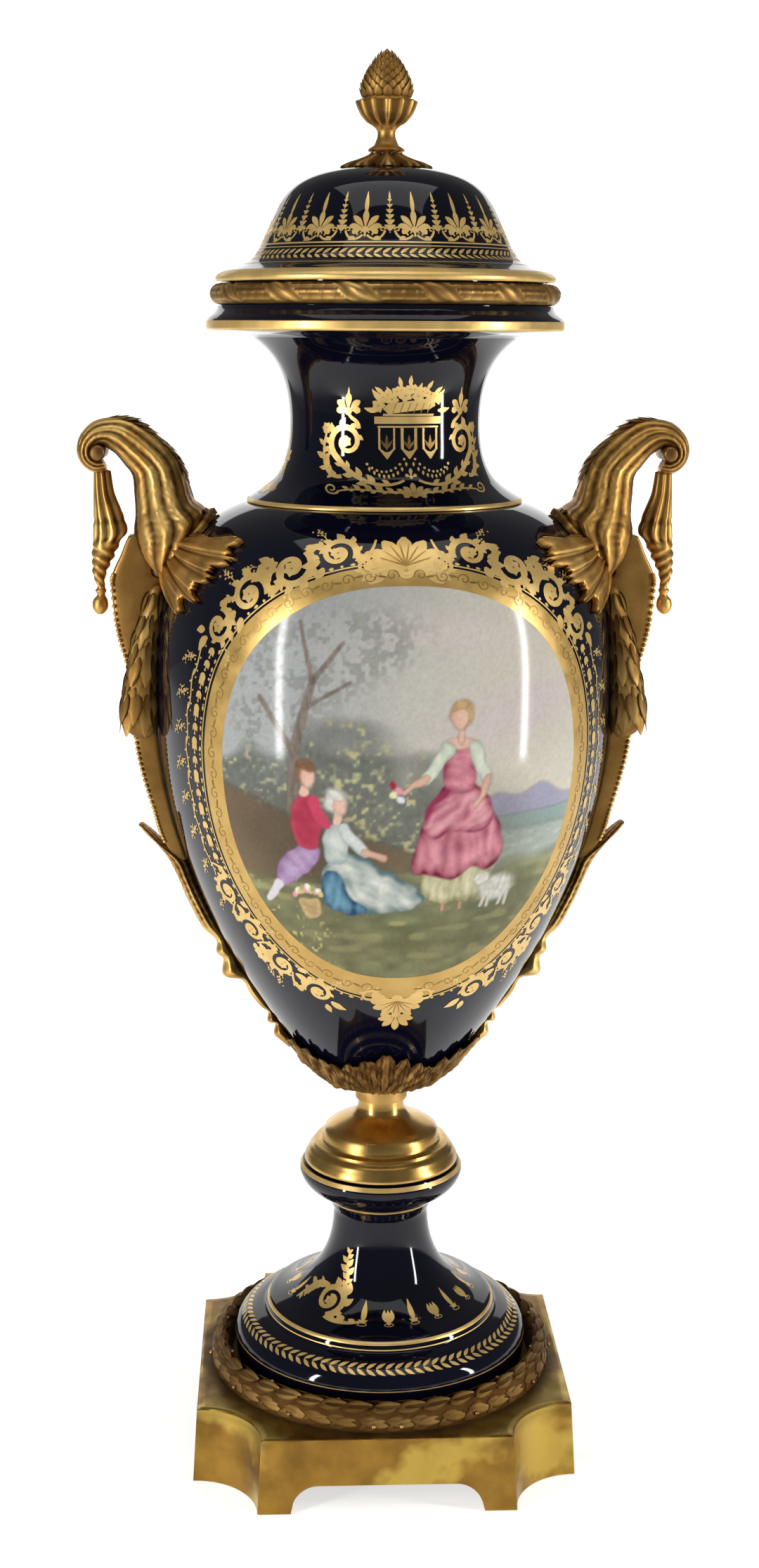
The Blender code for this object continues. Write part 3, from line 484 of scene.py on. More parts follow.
frame_edge, frame_crown = 0.00009, 0.00008
frame_golds = ((0.62, 0.405, 0.125), (0.52, 0.325, 0.090))


def frame_grid(u, v):
    turn, along = panel_place(u * tau, v)
    px, py, pz = laid(body_skin, turn, along, frame_edge + frame_crown * np.sin(pi * v))
    return px, py, pz, 0.0


panel_frame = mapped("panel_frame", 320, 8, frame_grid, gilding("frame_gold", frame_golds))
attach(panel_frame, "root")

# Gilding round the panel: scrolls, rosettes, husks and a shell, drawn on the glaze with a brush in
# liquid gold, fired, and etched with fine dark lines.

above_frame, on_glaze = 0.00022, 0.00006


def leaf(base, angle, length, wide, bend=0.0):
    share = np.linspace(0, 1, 7)
    heading = radians(angle) + radians(bend) * share[:-1]
    x = base[0] + np.concatenate(([0], np.cumsum(np.cos(heading)))) * length / 6
    y = base[1] + np.concatenate(([0], np.cumsum(np.sin(heading)))) * length / 6
    return [(np.stack([x, y], axis=1), 1.3 * wide * np.sin(pi * np.clip(share, 0.05, 0.97) ** 0.8) + 0.1, 0)]


def dot(centre, radius):
    share = np.linspace(-0.96, 0.96, 6)
    line = np.stack([centre[0] + radius * share, np.full(6, centre[1])], axis=1)
    return [(line, 2 * radius * np.sqrt(1 - share * share), 0)]


def line(points, wide, end_wide=None):
    points = np.array(points, float)
    if len(points) < 6:
        length = np.hypot(*np.diff(points, axis=0).T).sum()
        steps = np.linspace(0, len(points) - 1, int(length / 1.5) + len(points))
        points = np.stack([np.interp(steps, np.arange(len(points)), points[:, i]) for i in (0, 1)], axis=1)
    return [(points, np.linspace(wide, wide if end_wide is None else end_wide, len(points)), 0)]


def spiral(centre, radius, end_radius, start, turns, wide, end_wide):
    share = np.linspace(0, 1, 30)
    away = radius + (end_radius - radius) * share ** 0.85
    angle = radians(start) + tau * turns * share
    points = np.stack([centre[0] + away * np.cos(angle), centre[1] + away * np.sin(angle)], axis=1)
    return line(points, 1.3 * wide, 1.3 * end_wide)


def etched(motif):
    """The same strokes as dark lines cut in the gold."""
    return [(points, wide, 1) for points, wide, _ in motif]


def mirrored(motif):
    return [(points * (-1, 1), wide, tone) for points, wide, tone in motif]


def sprouts(stem, places, angle, length, wide, bend=0.0):
    """Leaves that grow from a line at the given shares of its length."""
    points = stem[0][0]
    grown = []
    for number, share in enumerate(places):
        at = share * (len(points) - 1)
        first = min(int(at), len(points) - 2)
        base = points[first] + (points[first + 1] - points[first]) * (at - first)
        ahead = points[first + 1] - points[first]
        size = 1 - 0.35 * abs(2 * number / max(len(places) - 1, 1) - 1)
        grown += leaf(base, degrees(atan2(ahead[1], ahead[0])) + angle, length * size, wide * size, bend)
    return grown


def moved(motif, shift=(0, 0), angle=0.0, size=1.0, over=1):
    c, s = cos(radians(angle)), sin(radians(angle))
    turned = []
    for points, wide, tone in motif:
        x, y = points[:, 0] * size, points[:, 1] * size * over
        place = np.stack([x * c - y * s + shift[0], x * s + y * c + shift[1]], axis=1)
        turned.append((place, wide * size, tone))
    return turned


def rosette(radius, petals=6):
    bloom = []
    for number in range(petals):
        bloom += moved(leaf((radius * 0.22, 0), 0, radius * 0.85, radius * 0.62),
                       angle=360 / petals * number)
    return bloom + dot((0, 0), radius * 0.26) + etched(dot((0, 0), radius * 0.12))


def palmette(lobes, spread, length, wide, fall=0.45):
    fan = []
    for number in range(lobes):
        aside = 2 * number / (lobes - 1) - 1
        reach = length * (1 - fall * abs(aside) ** 1.3)
        swell = 0.2 + 1.2 * wide * np.sin(pi * np.linspace(0.02, 0.96, 7) ** 1.7)
        for points, _, tone in leaf((aside * wide * 0.5, 0), 90 - aside * spread, reach, wide, -aside * 75):
            fan.append((points, swell, tone))
    return fan + dot((0, 0), wide * 0.7)


def spray(length, dots=5):
    """A small branch with leaves and berries."""
    stem = line(curve((0, 0), (length * 0.4, length * 0.16), (length * 0.7, 0), (length, length * 0.22), 8),
                0.5, 0.3)
    twig = stem + sprouts(stem, (0.2, 0.5, 0.8), 50, length * 0.26, 1.1)
    twig += sprouts(stem, (0.35, 0.65), -50, length * 0.24, 1.0)
    for number in range(dots):
        share = (number + 1) / dots
        aside = 1 if number % 2 else -0.55
        twig += dot((length * share, length * (0.24 + 0.10 * sin(5 * share + 1)) * aside), 0.55)
    return twig


def scroll():
    """One turn of running scrollwork, about 34 mm long and 24 mm high."""
    volute = spiral((0, 0), 9.2, 1.8, 215, -1.45, 2.6, 1.2)
    root = line(curve((-18, 3.0), (-15, -6), (-11, -7.5), volute[0][0][0], 8), 1.0, 3.2)
    turn = volute + root + moved(rosette(3.4, 6))
    turn += sprouts(volute, (0.05, 0.12, 0.19, 0.27, 0.35), 62, 6.0, 2.9, -30)
    turn += (sprouts(root, (0.35, 0.6, 0.85), 55, 5.2, 2.4, -25)
             + sprouts(root, (0.45, 0.75), -52, 4.6, 2.2, 25))
    turn += moved(leaf((9, -2), -20, 9.6, 3.6, 40)) + moved(leaf((8, -6), -58, 6.6, 3.0, 30))
    turn += moved(spray(9), (4, 9.5), 55)
    return turn


def husks():
    """A drop of husks 20 mm long, with beads and a fine line beside it."""
    length = 20
    drop = []
    for number in range(3):
        x = (number - 1) * length / 3
        drop += leaf((x - 1.8, 0), 24, 4.0, 1.7) + leaf((x - 1.8, 0), -24, 4.0, 1.7)
        drop += leaf((x - 1.6, 0), 0, 4.4, 1.1)
        drop += dot((x + 3.2, 0), 0.65)
        drop += dot((x, 4.4 + 0.5 * (number % 2)), 0.55) + dot((x + length / 6, -3.9), 0.5)
    side = line(curve((-length / 2, 6.2), (-length / 6, 8.6), (length / 6, 3.8), (length / 2, 6.2), 10), 0.9)
    return drop + side + sprouts(side, (0.3, 0.7), 60, 3.2, 1.1) + moved(spray(6.5, 4), (1, 8), 40)


def draw(art, motif, turn, along, lean=0.0, flip=1):
    """Put a motif, drawn in millimetres, on an unrolled surface at a turn and an arc length."""
    c, s = cos(lean), sin(lean)
    for points, wide, tone in motif:
        slope = np.gradient(points, axis=0)
        slope /= np.maximum(np.hypot(*slope.T), 1e-9)[:, None]
        side = np.stack([-slope[:, 1], slope[:, 0]], axis=1) * (wide / 2)[:, None]
        edges = np.stack([points - side, points + side]) * 0.001
        x = (edges[..., 0] * c - edges[..., 1] * s) * flip
        art.append((turn, along + edges[..., 0] * s + edges[..., 1] * c, x, flip, tone))


def gilded(name, skin, art, bands, lift, *surfaces):
    """Brush strokes and plain bands as thin gold lying on a turned surface."""
    points, faces, tones = [], [], []

    def weave(x, y, z, tone, flip=1):
        base, wide = len(points), x.shape[1]
        points.extend(zip(x.ravel(), y.ravel(), z.ravel()))
        for row in range(x.shape[0] - 1):
            for i in range(base + row * wide, base + (row + 1) * wide - 1):
                corners = (i, i + 1, i + wide + 1, i + wide)
                faces.append(corners if flip > 0 else corners[::-1])
                tones.append(tone)

    for number, (turn, along, x, flip, tone) in enumerate(art):
        height = lift + 0.000005 * (number % 9) + 0.00006 * tone
        weave(*laid(skin, turn + x / np.interp(along, skin[0], skin[1]), along, height), tone, flip)
    for low, high in bands:
        along, turn = np.meshgrid(np.linspace(low, high, 16), np.linspace(0, tau, 241), indexing="ij")
        weave(*laid(skin, turn, along, lift), 0)
    mesh = bpy.data.meshes.new(name)
    mesh.from_pydata(points, [], faces)
    mesh.shade_smooth()
    piece = show(name, mesh, *surfaces)
    mesh.polygons.foreach_set("material_index", tones)
    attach(piece, "root")
    return piece


round_half = np.linspace(pi / 2, -pi / 2, 400)
turns, alongs = panel_place(round_half, 1.5)
walk = np.hypot(np.diff(turns) * np.interp(alongs[1:], body_skin[0], body_skin[1]), np.diff(alongs))
walk = np.concatenate(([0], np.cumsum(walk))) / walk.sum()


def put(art, motif, share, ring):
    """Put a motif on both sides of the panel, its x down the side. A share of 0 is the top, 1 the bottom."""
    angle = np.interp(share, walk, round_half)
    turn, along = (float(value) for value in panel_place(angle, ring))
    next_turn, next_along = (float(value) for value in panel_place(angle - 0.01, ring))
    lean = atan2(next_along - along, (next_turn - turn) * np.interp(along, body_skin[0], body_skin[1]))
    draw(art, motif, turn, along, lean)
    draw(art, motif, 2 * panel_turn - turn, along, lean, -1)


upper_scrolls, lower_scrolls, rosettes, rosette_sprays = 1.50, 1.46, 1.80, 1.98
husk_ring, spray_ring = 1.30, 1.82
line_ring, dot_ring, sketch_ring = 1.065, 1.125, 0.55
border = []
running = scroll()
for number, (share, size) in enumerate(((0.088, 1.12), (0.153, 1.32), (0.222, 1.30), (0.288, 1.10))):
    put(border, moved(running, over=(-1) ** number, size=size), share, upper_scrolls)
for number, share in enumerate((0.690, 0.755, 0.820, 0.885)):
    put(border, moved(running, over=(-1) ** number), share, lower_scrolls)
for share in (0.183, 0.790):
    put(border, rosette(6.0, 8), share, rosettes)
    put(border, moved(spray(9), angle=15), share + 0.012, rosette_sprays)
for number in range(7):
    share = 0.345 + 0.0485 * number
    put(border, moved(husks(), size=1.15, over=1.1), share, husk_ring)
    put(border, moved(spray(11, 6), angle=25), share, spray_ring)
for number in range(96):
    put(border, line([(-2.3, 0), (2.3, 0)], 0.8), 0.01 + number / 98, line_ring)
for number in range(64):
    mark = dot((0, 0), 0.8) if number % 2 else leaf((-1.4, 0), 0, 2.8, 1.2)
    put(border, mark, 0.01 + number / 65, dot_ring)
for number in range(30):
    sketch = spiral((0, 0), 3.6, 0.7, 200, -1.2, 0.35, 0.3) + leaf((3, -1), 10, 5, 0.8)
    put(border, moved(etched(sketch), over=(-1) ** number), 0.02 + number / 31, sketch_ring)
shell = palmette(9, 84, 16.5, 5.2, 0.12) + dot((0, 1), 3.4)
for number in range(8):
    shell += etched(leaf((0, 2), 90 - (number - 3.5) * 20, 11, 0.5))
wings = spiral((12, 0), 5.6, 1.3, 130, 1.3, 1.6, 0.7)
wings += sprouts(wings, (0.1, 0.2, 0.3, 0.4), -60, 4.6, 1.8, 25)
top_turn, top_along = (float(value) for value in panel_place(pi / 2, 0.9))
foot_turn, foot_along = (float(value) for value in panel_place(-pi / 2, 1.15))
crest = shell + moved(wings, (3, 2)) + moved(mirrored(wings), (-3, 2))
draw(border, moved(crest, (0, -1.5), size=1.3), top_turn, top_along)
pendant = moved(shell, angle=180, size=0.9) + moved(palmette(7, 70, 13, 3.4), (0, -13), 180)
pendant += moved(wings, (2, 2), 0, 1.1, -1) + moved(mirrored(wings), (-2, 2), 0, 1.1, -1)
draw(border, moved(pendant, (0, 3)), foot_turn, foot_along)
gilded("body_gilding", body_skin, border, [], above_frame, gilding("body_gold"), etching("body_etching"))

# Neck: porcelain turned in one piece with its lip and glazed dark blue, set on the body's shoulder,
# with a gilt basket of flowers between scrolls at the front and the back.

neck_low = 0.5589
foot_side = curve((0.0761, 0.5611), (0.0668, 0.5676), (0.0528, 0.5705), (0.0528, 0.6025), 36)
throat_side = curve((0.0528, 0.6025), (0.0528, 0.6346), (0.0673, 0.6434), (0.0741, 0.6483), 36)
lip_side = [(0.0850, 0.6503), (0.0967, 0.6517), (0.0979, 0.6521), (0.0983, 0.6530), (0.0983, 0.6565),
            (0.0976, 0.6582), (0.0950, 0.6603), (0.0937, 0.6617), (0.0926, 0.6630), (0.0923, 0.6648)]
neck_side = np.vstack([[(0.0767, neck_low), (0.0769, 0.5600)], foot_side, throat_side[1:], lip_side])
neck_skin = measured(neck_side)
inside = np.vstack([(0.0820, 0.6648), (0.0800, 0.6517), throat_side[::-4] - (0.0052, 0.001),
                    foot_side[-4:4:-4] - (wall, 0), (0.0622, neck_low)])
neck = lathe("urn_neck", np.vstack([neck_side, inside]), 160, glaze("neck_glaze"))
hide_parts("neck")
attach(neck, "root")

basket = line([(-14.5, 42.6), (14.5, 42.6)], 3.0) + line([(-13.2, 39.9), (13.2, 39.9)], 0.7)
for number in range(3):
    x = (number - 1) * 9.4
    basket += line([(x, 39.4), (x, 30.6)], 7.0) + line([(x, 31), (x, 26.6)], 7.0, 0.4)
    basket += etched(leaf((x, 30.5), 90, 6, 1.0) + leaf((x, 31), 125, 4, 0.8) + leaf((x, 31), 55, 4, 0.8))
basket += line([(-9.5, 45.8), (-8, 47.4), (9, 49.4), (10, 47.6)], 4.2) + line([(-11, 44.8), (11, 44.8)], 0.8)
for x in range(-7, 9, 3):
    basket += etched(line([(x, 45.6), (x + 1.5, 49.6)], 0.35))
for number in range(15):
    x, y = -13 + 26 * number / 14, 51.2 + 4.2 * sin(pi * number / 14) - 2.6 * (number % 3 == 0)
    basket += moved(rosette(2.2 if number % 3 else 2.8, 5), (x, y), 20 * number)
    basket += leaf((x, y + 1.4), 150 - 8.5 * number, 4.6, 1.3) if number % 2 else []
for flip in (-1, 1):
    basket += leaf((10 * flip, 50), 90 - 60 * flip, 8, 2.0, 30 * flip)
    basket += leaf((13 * flip, 46.5), 90 - 90 * flip, 6, 1.6, 24 * flip)

half_neck = spiral((34, 33), 10.6, 1.6, -60, 1.55, 2.8, 1.1)
stem = line(curve((4, 12), (18, 4), (32, 14), half_neck[0][0][0], 12), 1.4, 3.4)
half_neck += stem + moved(rosette(2.8, 5), (34, 33))
half_neck += sprouts(half_neck[:1], (0.04, 0.10, 0.16, 0.23, 0.30, 0.38), -60, 6.4, 3.0, 30)
half_neck += sprouts(stem, (0.2, 0.4, 0.6, 0.8), 58, 7.6, 3.0, -35)
half_neck += sprouts(stem, (0.3, 0.5, 0.7, 0.9), -55, 7.2, 2.8, 35)
rise = line(curve((27, 40), (27, 46), (33, 44), (33, 50), 8), 2.4, 1.4)
half_neck += rise + moved(palmette(5, 62, 10, 3.0), (33, 49)) + leaf((33, 57), 90, 5, 0.8)
branch = line(curve((38, 14), (49, 12), (50, 26), (46, 38), 12), 2.4, 1.2)
half_neck += branch + sprouts(branch, (0.1, 0.25, 0.4, 0.55, 0.7, 0.85), 40, 6.4, 2.6, 20)
half_neck += sprouts(branch, (0.2, 0.4, 0.6, 0.8, 0.97), -46, 6.0, 2.4, -20) + moved(rosette(3.0), (46, 40))
lower_stem = line(curve((2, 5), (14, 1), (26, 9), (42, 4), 16), 2.2, 1.0)
half_neck += lower_stem + sprouts(lower_stem, (0.1, 0.25, 0.4, 0.55, 0.7, 0.85), 52, 6.4, 2.6, -30)
half_neck += sprouts(lower_stem, (0.2, 0.35, 0.5, 0.65, 0.8), -48, 3.4, 1.6, 30)
half_neck += moved(spiral((0, 0), 4.4, 1.0, -150, 1.3, 1.2, 0.6), (45, 6))
sag = [7 * ((number - 4.5) / 4.5) ** 2 for number in range(9)]
for number in range(9):
    half_neck += dot((3.0 + 2.5 * number, 17 + sag[number]), 0.75)
for number in range(9):
    half_neck += leaf((2.0 + 2.5 * number, 15.4 + sag[number]), -90, 2.4, 1.0)
neck_art = []
for place in (11.5, 191.5):
    low = level(neck_skin, 0.5660)
    draw(neck_art, moved(basket, (0, -10), size=1.28), radians(place), low)
    palm = palmette(7, 75, 9.5, 2.6) + moved(palmette(3, 40, 5, 1.6), (0, 13))
    draw(neck_art, palm, radians(place), low + 0.001)
    for flip in (1, -1):
        draw(neck_art, half_neck, radians(place), low, flip=flip)
for side in (101.5, 281.5):
    low = level(neck_skin, 0.5650)
    bunch = palmette(7, 70, 10, 2.6) + moved(rosette(4.5, 7), (0, 18))
    bunch += moved(palmette(5, 60, 9, 2.4), (0, 23)) + leaf((0, 31), 90, 12, 1.4)
    for number in range(4):
        for flip in (-1, 1):
            bunch += leaf(((14 - 3 * number) * flip, 1.5), 90, 4 + 2.2 * number, 1.3)
    draw(neck_art, bunch, radians(side), low)
neck_bands = [(0.0002, level(neck_skin, 0.5613))]
neck_bands += [(level(neck_skin, 0.6518), level(neck_skin, 0.6568))]
gilded("neck_gilding", neck_skin, neck_art, neck_bands, on_glaze, gilding("neck_gold"),
       etching("neck_etching"))

# Lid: hollow porcelain dome that lifts off, held in place by a flange inside the lip's ring,
# with palmettes over a band of laurel in gold.

lid_low, lid_top = 0.6773, 0.7373
flange_low = 0.6693
flange_out, flange_in = 0.0800, 0.0755
rim_side = curve((0.0892, 0.6827), (0.0812, 0.6852), (0.0725, 0.6877), (0.0705, 0.6932), 16)
dome_side = curve((0.0705, 0.6932), (0.0569, 0.7164), (0.0602, 0.7316), (0.0245, lid_top), 56)
lid_side = np.vstack([(0.0924, lid_low), (0.0931, 0.6783), (0.0932, 0.6797), (0.0922, 0.6811),
                      rim_side, dome_side[1:]])
lid_skin = measured(lid_side)
dome_inside = curve((0.0647, 0.6909), (0.0507, 0.7130), (0.0567, 0.7263), (0.0337, 0.7306), 20)
outline = np.vstack([(0, lid_top), lid_side[::-1], (flange_out, lid_low), (flange_out, flange_low),
                     (flange_in, flange_low), (flange_in, lid_low), dome_inside, (0, 0.7315)])
lid = lathe("urn_lid", outline, 160, glaze("lid_glaze"), closed=False)
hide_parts("lid")
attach(lid, "root")


def laurel(art, skin, height, count, length):
    """A band of laurel that runs round a turned surface."""
    along = level(skin, height)
    for number in range(count):
        turn = tau * number / count
        above = leaf((0, 0.3), 40, length, length * 0.25, -16)
        below = leaf((0, -0.3), -40, length, length * 0.25, 16)
        draw(art, above + below, turn, along)


lid_art = []
laurel(lid_art, lid_skin, 0.6908, 98, 5.2)
base_along = level(lid_skin, 0.6975)
flower = []
for number in range(6):
    size = 3.2 - 0.38 * number
    flower += dot((0, 7.0 + 3.1 * number), size * 0.52) + leaf((0, 7 + 3.1 * number), 28, size, size * 0.5)
    flower += leaf((0, 7 + 3.1 * number), 152, size, size * 0.5)
flower += line([(0, 4), (0, 24)], 0.45, 0.3) + leaf((0, 22), 90, 6, 0.8)
fan = moved(palmette(7, 84, 11.0, 2.6), (0, 6.0)) + leaf((0, 14), 90, 14, 1.6) + line([(0, 2), (0, 7)], 1.1)
link = (line(curve((1.2, 3.0), (4, -0.5), (9, -0.5), (10.4, 5.5), 12), 1.2)
        + spiral((2.6, 4.6), 2.0, 0.5, -60, 0.9, 0.7, 0.4))
link += spiral((9.0, 6.0), 1.6, 0.4, 0, 0.9, 0.7, 0.4)
moon = []
for step in range(4):
    reach, rise = 1.9 * cos(step * 0.36), 0.3 + 1.9 * sin(step * 0.36)
    moon += line([(-reach, rise), (reach, rise)], 0.75)
for number in range(16):
    turn = radians(10.5 + 22.5 * number)
    draw(lid_art, fan, turn, base_along)
    draw(lid_art, flower, turn + radians(11.25), base_along)
    draw(lid_art, moon, turn + radians(5.6), base_along)
    draw(lid_art, moon, turn - radians(5.6), base_along)
    for flip in (1, -1):
        draw(lid_art, link, turn, base_along, flip=flip)
lid_bands = [(0.0, level(lid_skin, 0.6833))]
for height, wide in ((0.6866, 0.0006), (0.6945, 0.0005), (0.6962, 0.0009)):
    along = level(lid_skin, height)
    lid_bands.append((along, along + wide))
gilded("lid_gilding", lid_skin, lid_art, lid_bands, on_glaze, gilding("lid_gold"), etching("lid_etching"))

# Socle: porcelain, thrown hollow, a spreading foot below a slim stem and a collar, standing inside
# the laurel wreath, with a gilt scroll, tulips and a band of laurel.

foot_low, foot_top = 0.0442, 0.1680
rod_hole = 0.0089
edge_side = curve((0.0875, 0.0610), (0.0875, 0.0680), (0.0790, 0.0745), (0.0700, 0.0760), 20)
flare_side = curve((0.0660, 0.0825), (0.0380, 0.0900), (0.0283, 0.1125), (0.0280, 0.1372), 44)
collar_side = curve((0.0314, 0.1456), (0.0393, 0.1504), (0.0469, 0.1547), (0.0483, 0.1632), 18)
socle_side = np.vstack([(0.0867, foot_low), edge_side, (0.0690, 0.0772), (0.0686, 0.0790), (0.0676, 0.0809),
                        flare_side, (0.0288, 0.1400), (0.0305, 0.1428), collar_side,
                        (0.0480, 0.1652), (0.0462, foot_top)])
socle_skin = measured(socle_side)
stem_inside = curve((0.0222, 0.1372), (0.0222, 0.1046), (0.0280, 0.0866), (0.0617, 0.0775), 14)
inside = np.vstack([(rod_hole, foot_top), (rod_hole, 0.1622), (0.0222, 0.1622), stem_inside,
                    (0.0817, 0.0610), (0.0817, foot_low)])
socle = lathe("socle", np.vstack([socle_side, inside]), 160, glaze("socle_glaze"))
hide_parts("foot")
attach(socle, "root")

socle_art = []
laurel(socle_art, socle_skin, 0.0718, 92, 6.4)
low = level(socle_skin, 0.0862)
tulip = leaf((0, 2.6), 90, 8, 2.6) + leaf((-0.8, 2.6), 116, 8.4, 2.4, -44)
tulip += leaf((0.8, 2.6), 64, 8.4, 2.4, 44) + dot((0, 1.8), 1.3)
spike = leaf((0, 1.5), 90, 15, 2.6) + leaf((0, 1.5), 138, 3.6, 1.2) + leaf((0, 1.5), 42, 3.6, 1.2)
oval = spiral((0, 0), 1.0, 1.0, 0, 1, 0.35, 0.35)
oval = [(p * (2.6, 1.1), w, t) for p, w, t in oval]
big = spiral((0, 9.5), 8.4, 1.8, -70, 1.5, 2.5, 1.2)
big += sprouts(big, (0.05, 0.12, 0.19, 0.27, 0.36), -60, 6.4, 3.6, 30)
arm = line(curve((20, 1.8), (15, -0.6), (8, -0.6), big[0][0][0], 12), 1.3, 3.0)
big += arm + sprouts(arm, (0.15, 0.45, 0.75), -55, 5.6, 2.6, 30) + moved(rosette(2.4, 5), (0, 9))
tail = line(curve((-4, 15), (-12, 17), (-17, 10), (-20, 2), 12), 2.2, 0.9)
big += tail + sprouts(tail, (0.1, 0.25, 0.4, 0.55, 0.7, 0.85), 50, 5.6, 2.5)
big += sprouts(tail, (0.2, 0.45, 0.7), -50, 4.8, 2.2)
plume = line(curve((3, 15), (8, 22), (-2, 26), (3, 34), 12), 1.9, 0.8)
big += plume + sprouts(plume, (0.1, 0.3, 0.5, 0.7, 0.9), 46, 5.0, 2.2)
big += sprouts(plume, (0.2, 0.4, 0.6, 0.8), -46, 5.0, 2.2)
tulips = 22
for number in range(tulips):
    place = (number * 360 / tulips + 3) % 360
    if abs((place - 137) % 180 - 90) > 61:
        continue
    draw(socle_art, spike if number % 2 else tulip, radians(place), low)
    draw(socle_art, moved(oval, (0, 0.6)), radians(place), low)
for place in (-43, 137):
    draw(socle_art, moved(big, size=1.3), radians(place), low)
socle_bands = []
for height, wide in ((0.0609, 0.0007), (0.0800, 0.0022), (0.0772, 0.0007), (0.1448, 0.0010),
                     (0.1652, 0.0028)):
    along = level(socle_skin, height)
    socle_bands.append((along, along + wide))
gilded("socle_gilding", socle_skin, socle_art, socle_bands, on_glaze, gilding("socle_gold"),
       etching("socle_etching"))

# Ring on the lip: bronze, cast in one piece and chased as bundles of reeds bound with slanting
# leaves, fire gilt, and clamped on the neck's lip.


def bronze(name, tones=((0.68, 0.40, 0.115), (0.48, 0.265, 0.070), (0.76, 0.50, 0.165))):
    return finish(name, tones, scale=60.0, rough=(0.38, 0.54), metallic=1.0, patina_and_shade=(0.10, 0.046, 0.012),
                  grain=0.25, grain_scale=800.0)


def turned_relief(name, outline, around, rows, relief_and_shade, *surfaces):
    """A turned casting with chased work on it: the given function of turn and share of the outline gives
    height and darkening.
    """
    skin = measured(outline)

    def place(u, v):
        rise, hollow_and_shade = relief_and_shade(u * tau, v)
        return (*laid(skin, u * tau, v * skin[0][-1], rise), hollow_and_shade)

    return mapped(name, around, rows, place, *surfaces, sharp=1.2)


matt_tones = ((0.46, 0.275, 0.085), (0.33, 0.19, 0.055), (0.54, 0.34, 0.115))
ring_low, ring_top = 0.6651, 0.6770
half_round = [(0.0912 + 0.0050 * cos(angle), 0.67105 + 0.0056 * sin(angle))
              for angle in np.linspace(-1.5, 1.5, 25)]
ring_in, ring_out = 0.0820, 0.0900
ring_outline = [(ring_in, ring_low), (ring_out, ring_low)] + half_round
ring_outline += [(ring_out, ring_top), (ring_in, ring_top), (ring_in, ring_low)]


def ring_relief(turn, share):
    across = (share - 0.46) / 0.20
    on = np.exp(-(across * 0.95) ** 8)
    cell = (turn * 14 / tau) % 1.0
    reeds = 0.5 + 0.5 * np.cos(tau * across * 2.5)
    joint = ((turn * 84 / tau) + 0.4 * np.abs(across)) % 1.0
    slant = 0.5 + 0.5 * np.cos(tau * (turn * 56 / tau + across * 0.9))
    wrap = soft(np.abs(cell + 0.18 * across - 0.5), 0.24, 0.20)
    rise = np.where(wrap > 0.5, 0.2 + 0.8 * slant, reeds * (0.55 + 0.45 * joint))
    return -0.0010 * (1 - rise) * on, (1 - rise) * on


ring = turned_relief("rim_ring_cast", ring_outline, 720, 34, ring_relief, bronze("ring_bronze", matt_tones))
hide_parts("rim_ring")
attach(ring, "root")

# Square base: one bronze casting, open below, with scooped corners and a low arch in each side.
# Its gilding has worn and browned, and is brighter where hands rub it.

base_half, base_top_half, base_high = 0.1110, 0.1084, 0.0439
scoop, arch_span, arch_high, arch_round = 0.0375, 0.0545, 0.0165, 0.0150
edge_high, edge_in, top_hole = 0.0008, 0.0009, 0.0800
base_tones = ((0.34, 0.190, 0.036), (0.205, 0.110, 0.022), (0.48, 0.325, 0.066))


def base_line(half_width):
    """A square with scooped corners."""
    corners = []
    for quarter in range(4):
        for angle in np.linspace(1.5 * pi, pi, 25):
            x, y = half_width + scoop * cos(angle), half_width + scoop * sin(angle)
            c, s = cos(quarter * pi / 2), sin(quarter * pi / 2)
            corners.append((x * c - y * s, x * s + y * c))
    return np.array(corners + corners[:1])


low_line, top_line = base_line(base_half), base_line(base_top_half)
trip = np.concatenate(([0.0], np.cumsum(np.hypot(*np.diff(low_line, axis=0).T))))
trip /= trip[-1]


def base_place(u, v):
    low = [np.interp(u, trip, low_line[:, i]) for i in (0, 1)]
    top = [np.interp(u, trip, top_line[:, i]) for i in (0, 1)]
    beside = np.minimum(np.abs(low[0]), np.abs(low[1]))
    flat = np.maximum(np.abs(low[0]), np.abs(low[1])) > base_half - 0.0001
    bend = np.clip(beside - (arch_span - arch_round), 0, arch_round)
    arch = arch_high - arch_round + np.sqrt(arch_round ** 2 - bend ** 2)
    start = np.where(flat & (beside < arch_span), arch, 0.0)
    wall_share = np.clip(v / 0.5, 0, 1)
    height = start + (base_high - edge_high - start) * wall_share
    height = height + edge_high * np.clip((v - 0.5) / 0.05, 0, 1)
    lean = height / base_high
    x, y = (a + (b - a) * lean for a, b in zip(low, top))
    inward = edge_in * np.clip((v - 0.5) / 0.05, 0, 1) / base_half
    x, y = x * (1 - inward), y * (1 - inward)
    share = np.clip((v - 0.55) / 0.45, 0, 1)
    away = np.hypot(x, y)
    closer = (away + (top_hole - away) * share) / away
    x, y = x * closer, y * closer
    # Painted shade: the base is made darker next to and under the wreath, in a band where the wall meets the
    # top edge, along the arches' edges and in the scooped corners, and its top face is darker all over.
    painted_shadow_by_wreath = soft(np.hypot(x, y), 0.117, 0.1035) * (share > 0) * 0.9
    painted_shade = painted_shadow_by_wreath + 0.30 * soft(v, 0.53, 0.49) * soft(v, 0.40, 0.49)
    painted_shade = np.maximum(painted_shade, 0.55 * soft(v, 0.56, 0.60))
    corner = soft(beside, base_half - scoop - 0.012, base_half - scoop) * soft(v, 0.52, 0.48)
    return x, y, height, np.clip(painted_shade + 0.25 * (start > 0) * soft(v, 0.05, 0.0) + 0.25 * corner, 0, 1)


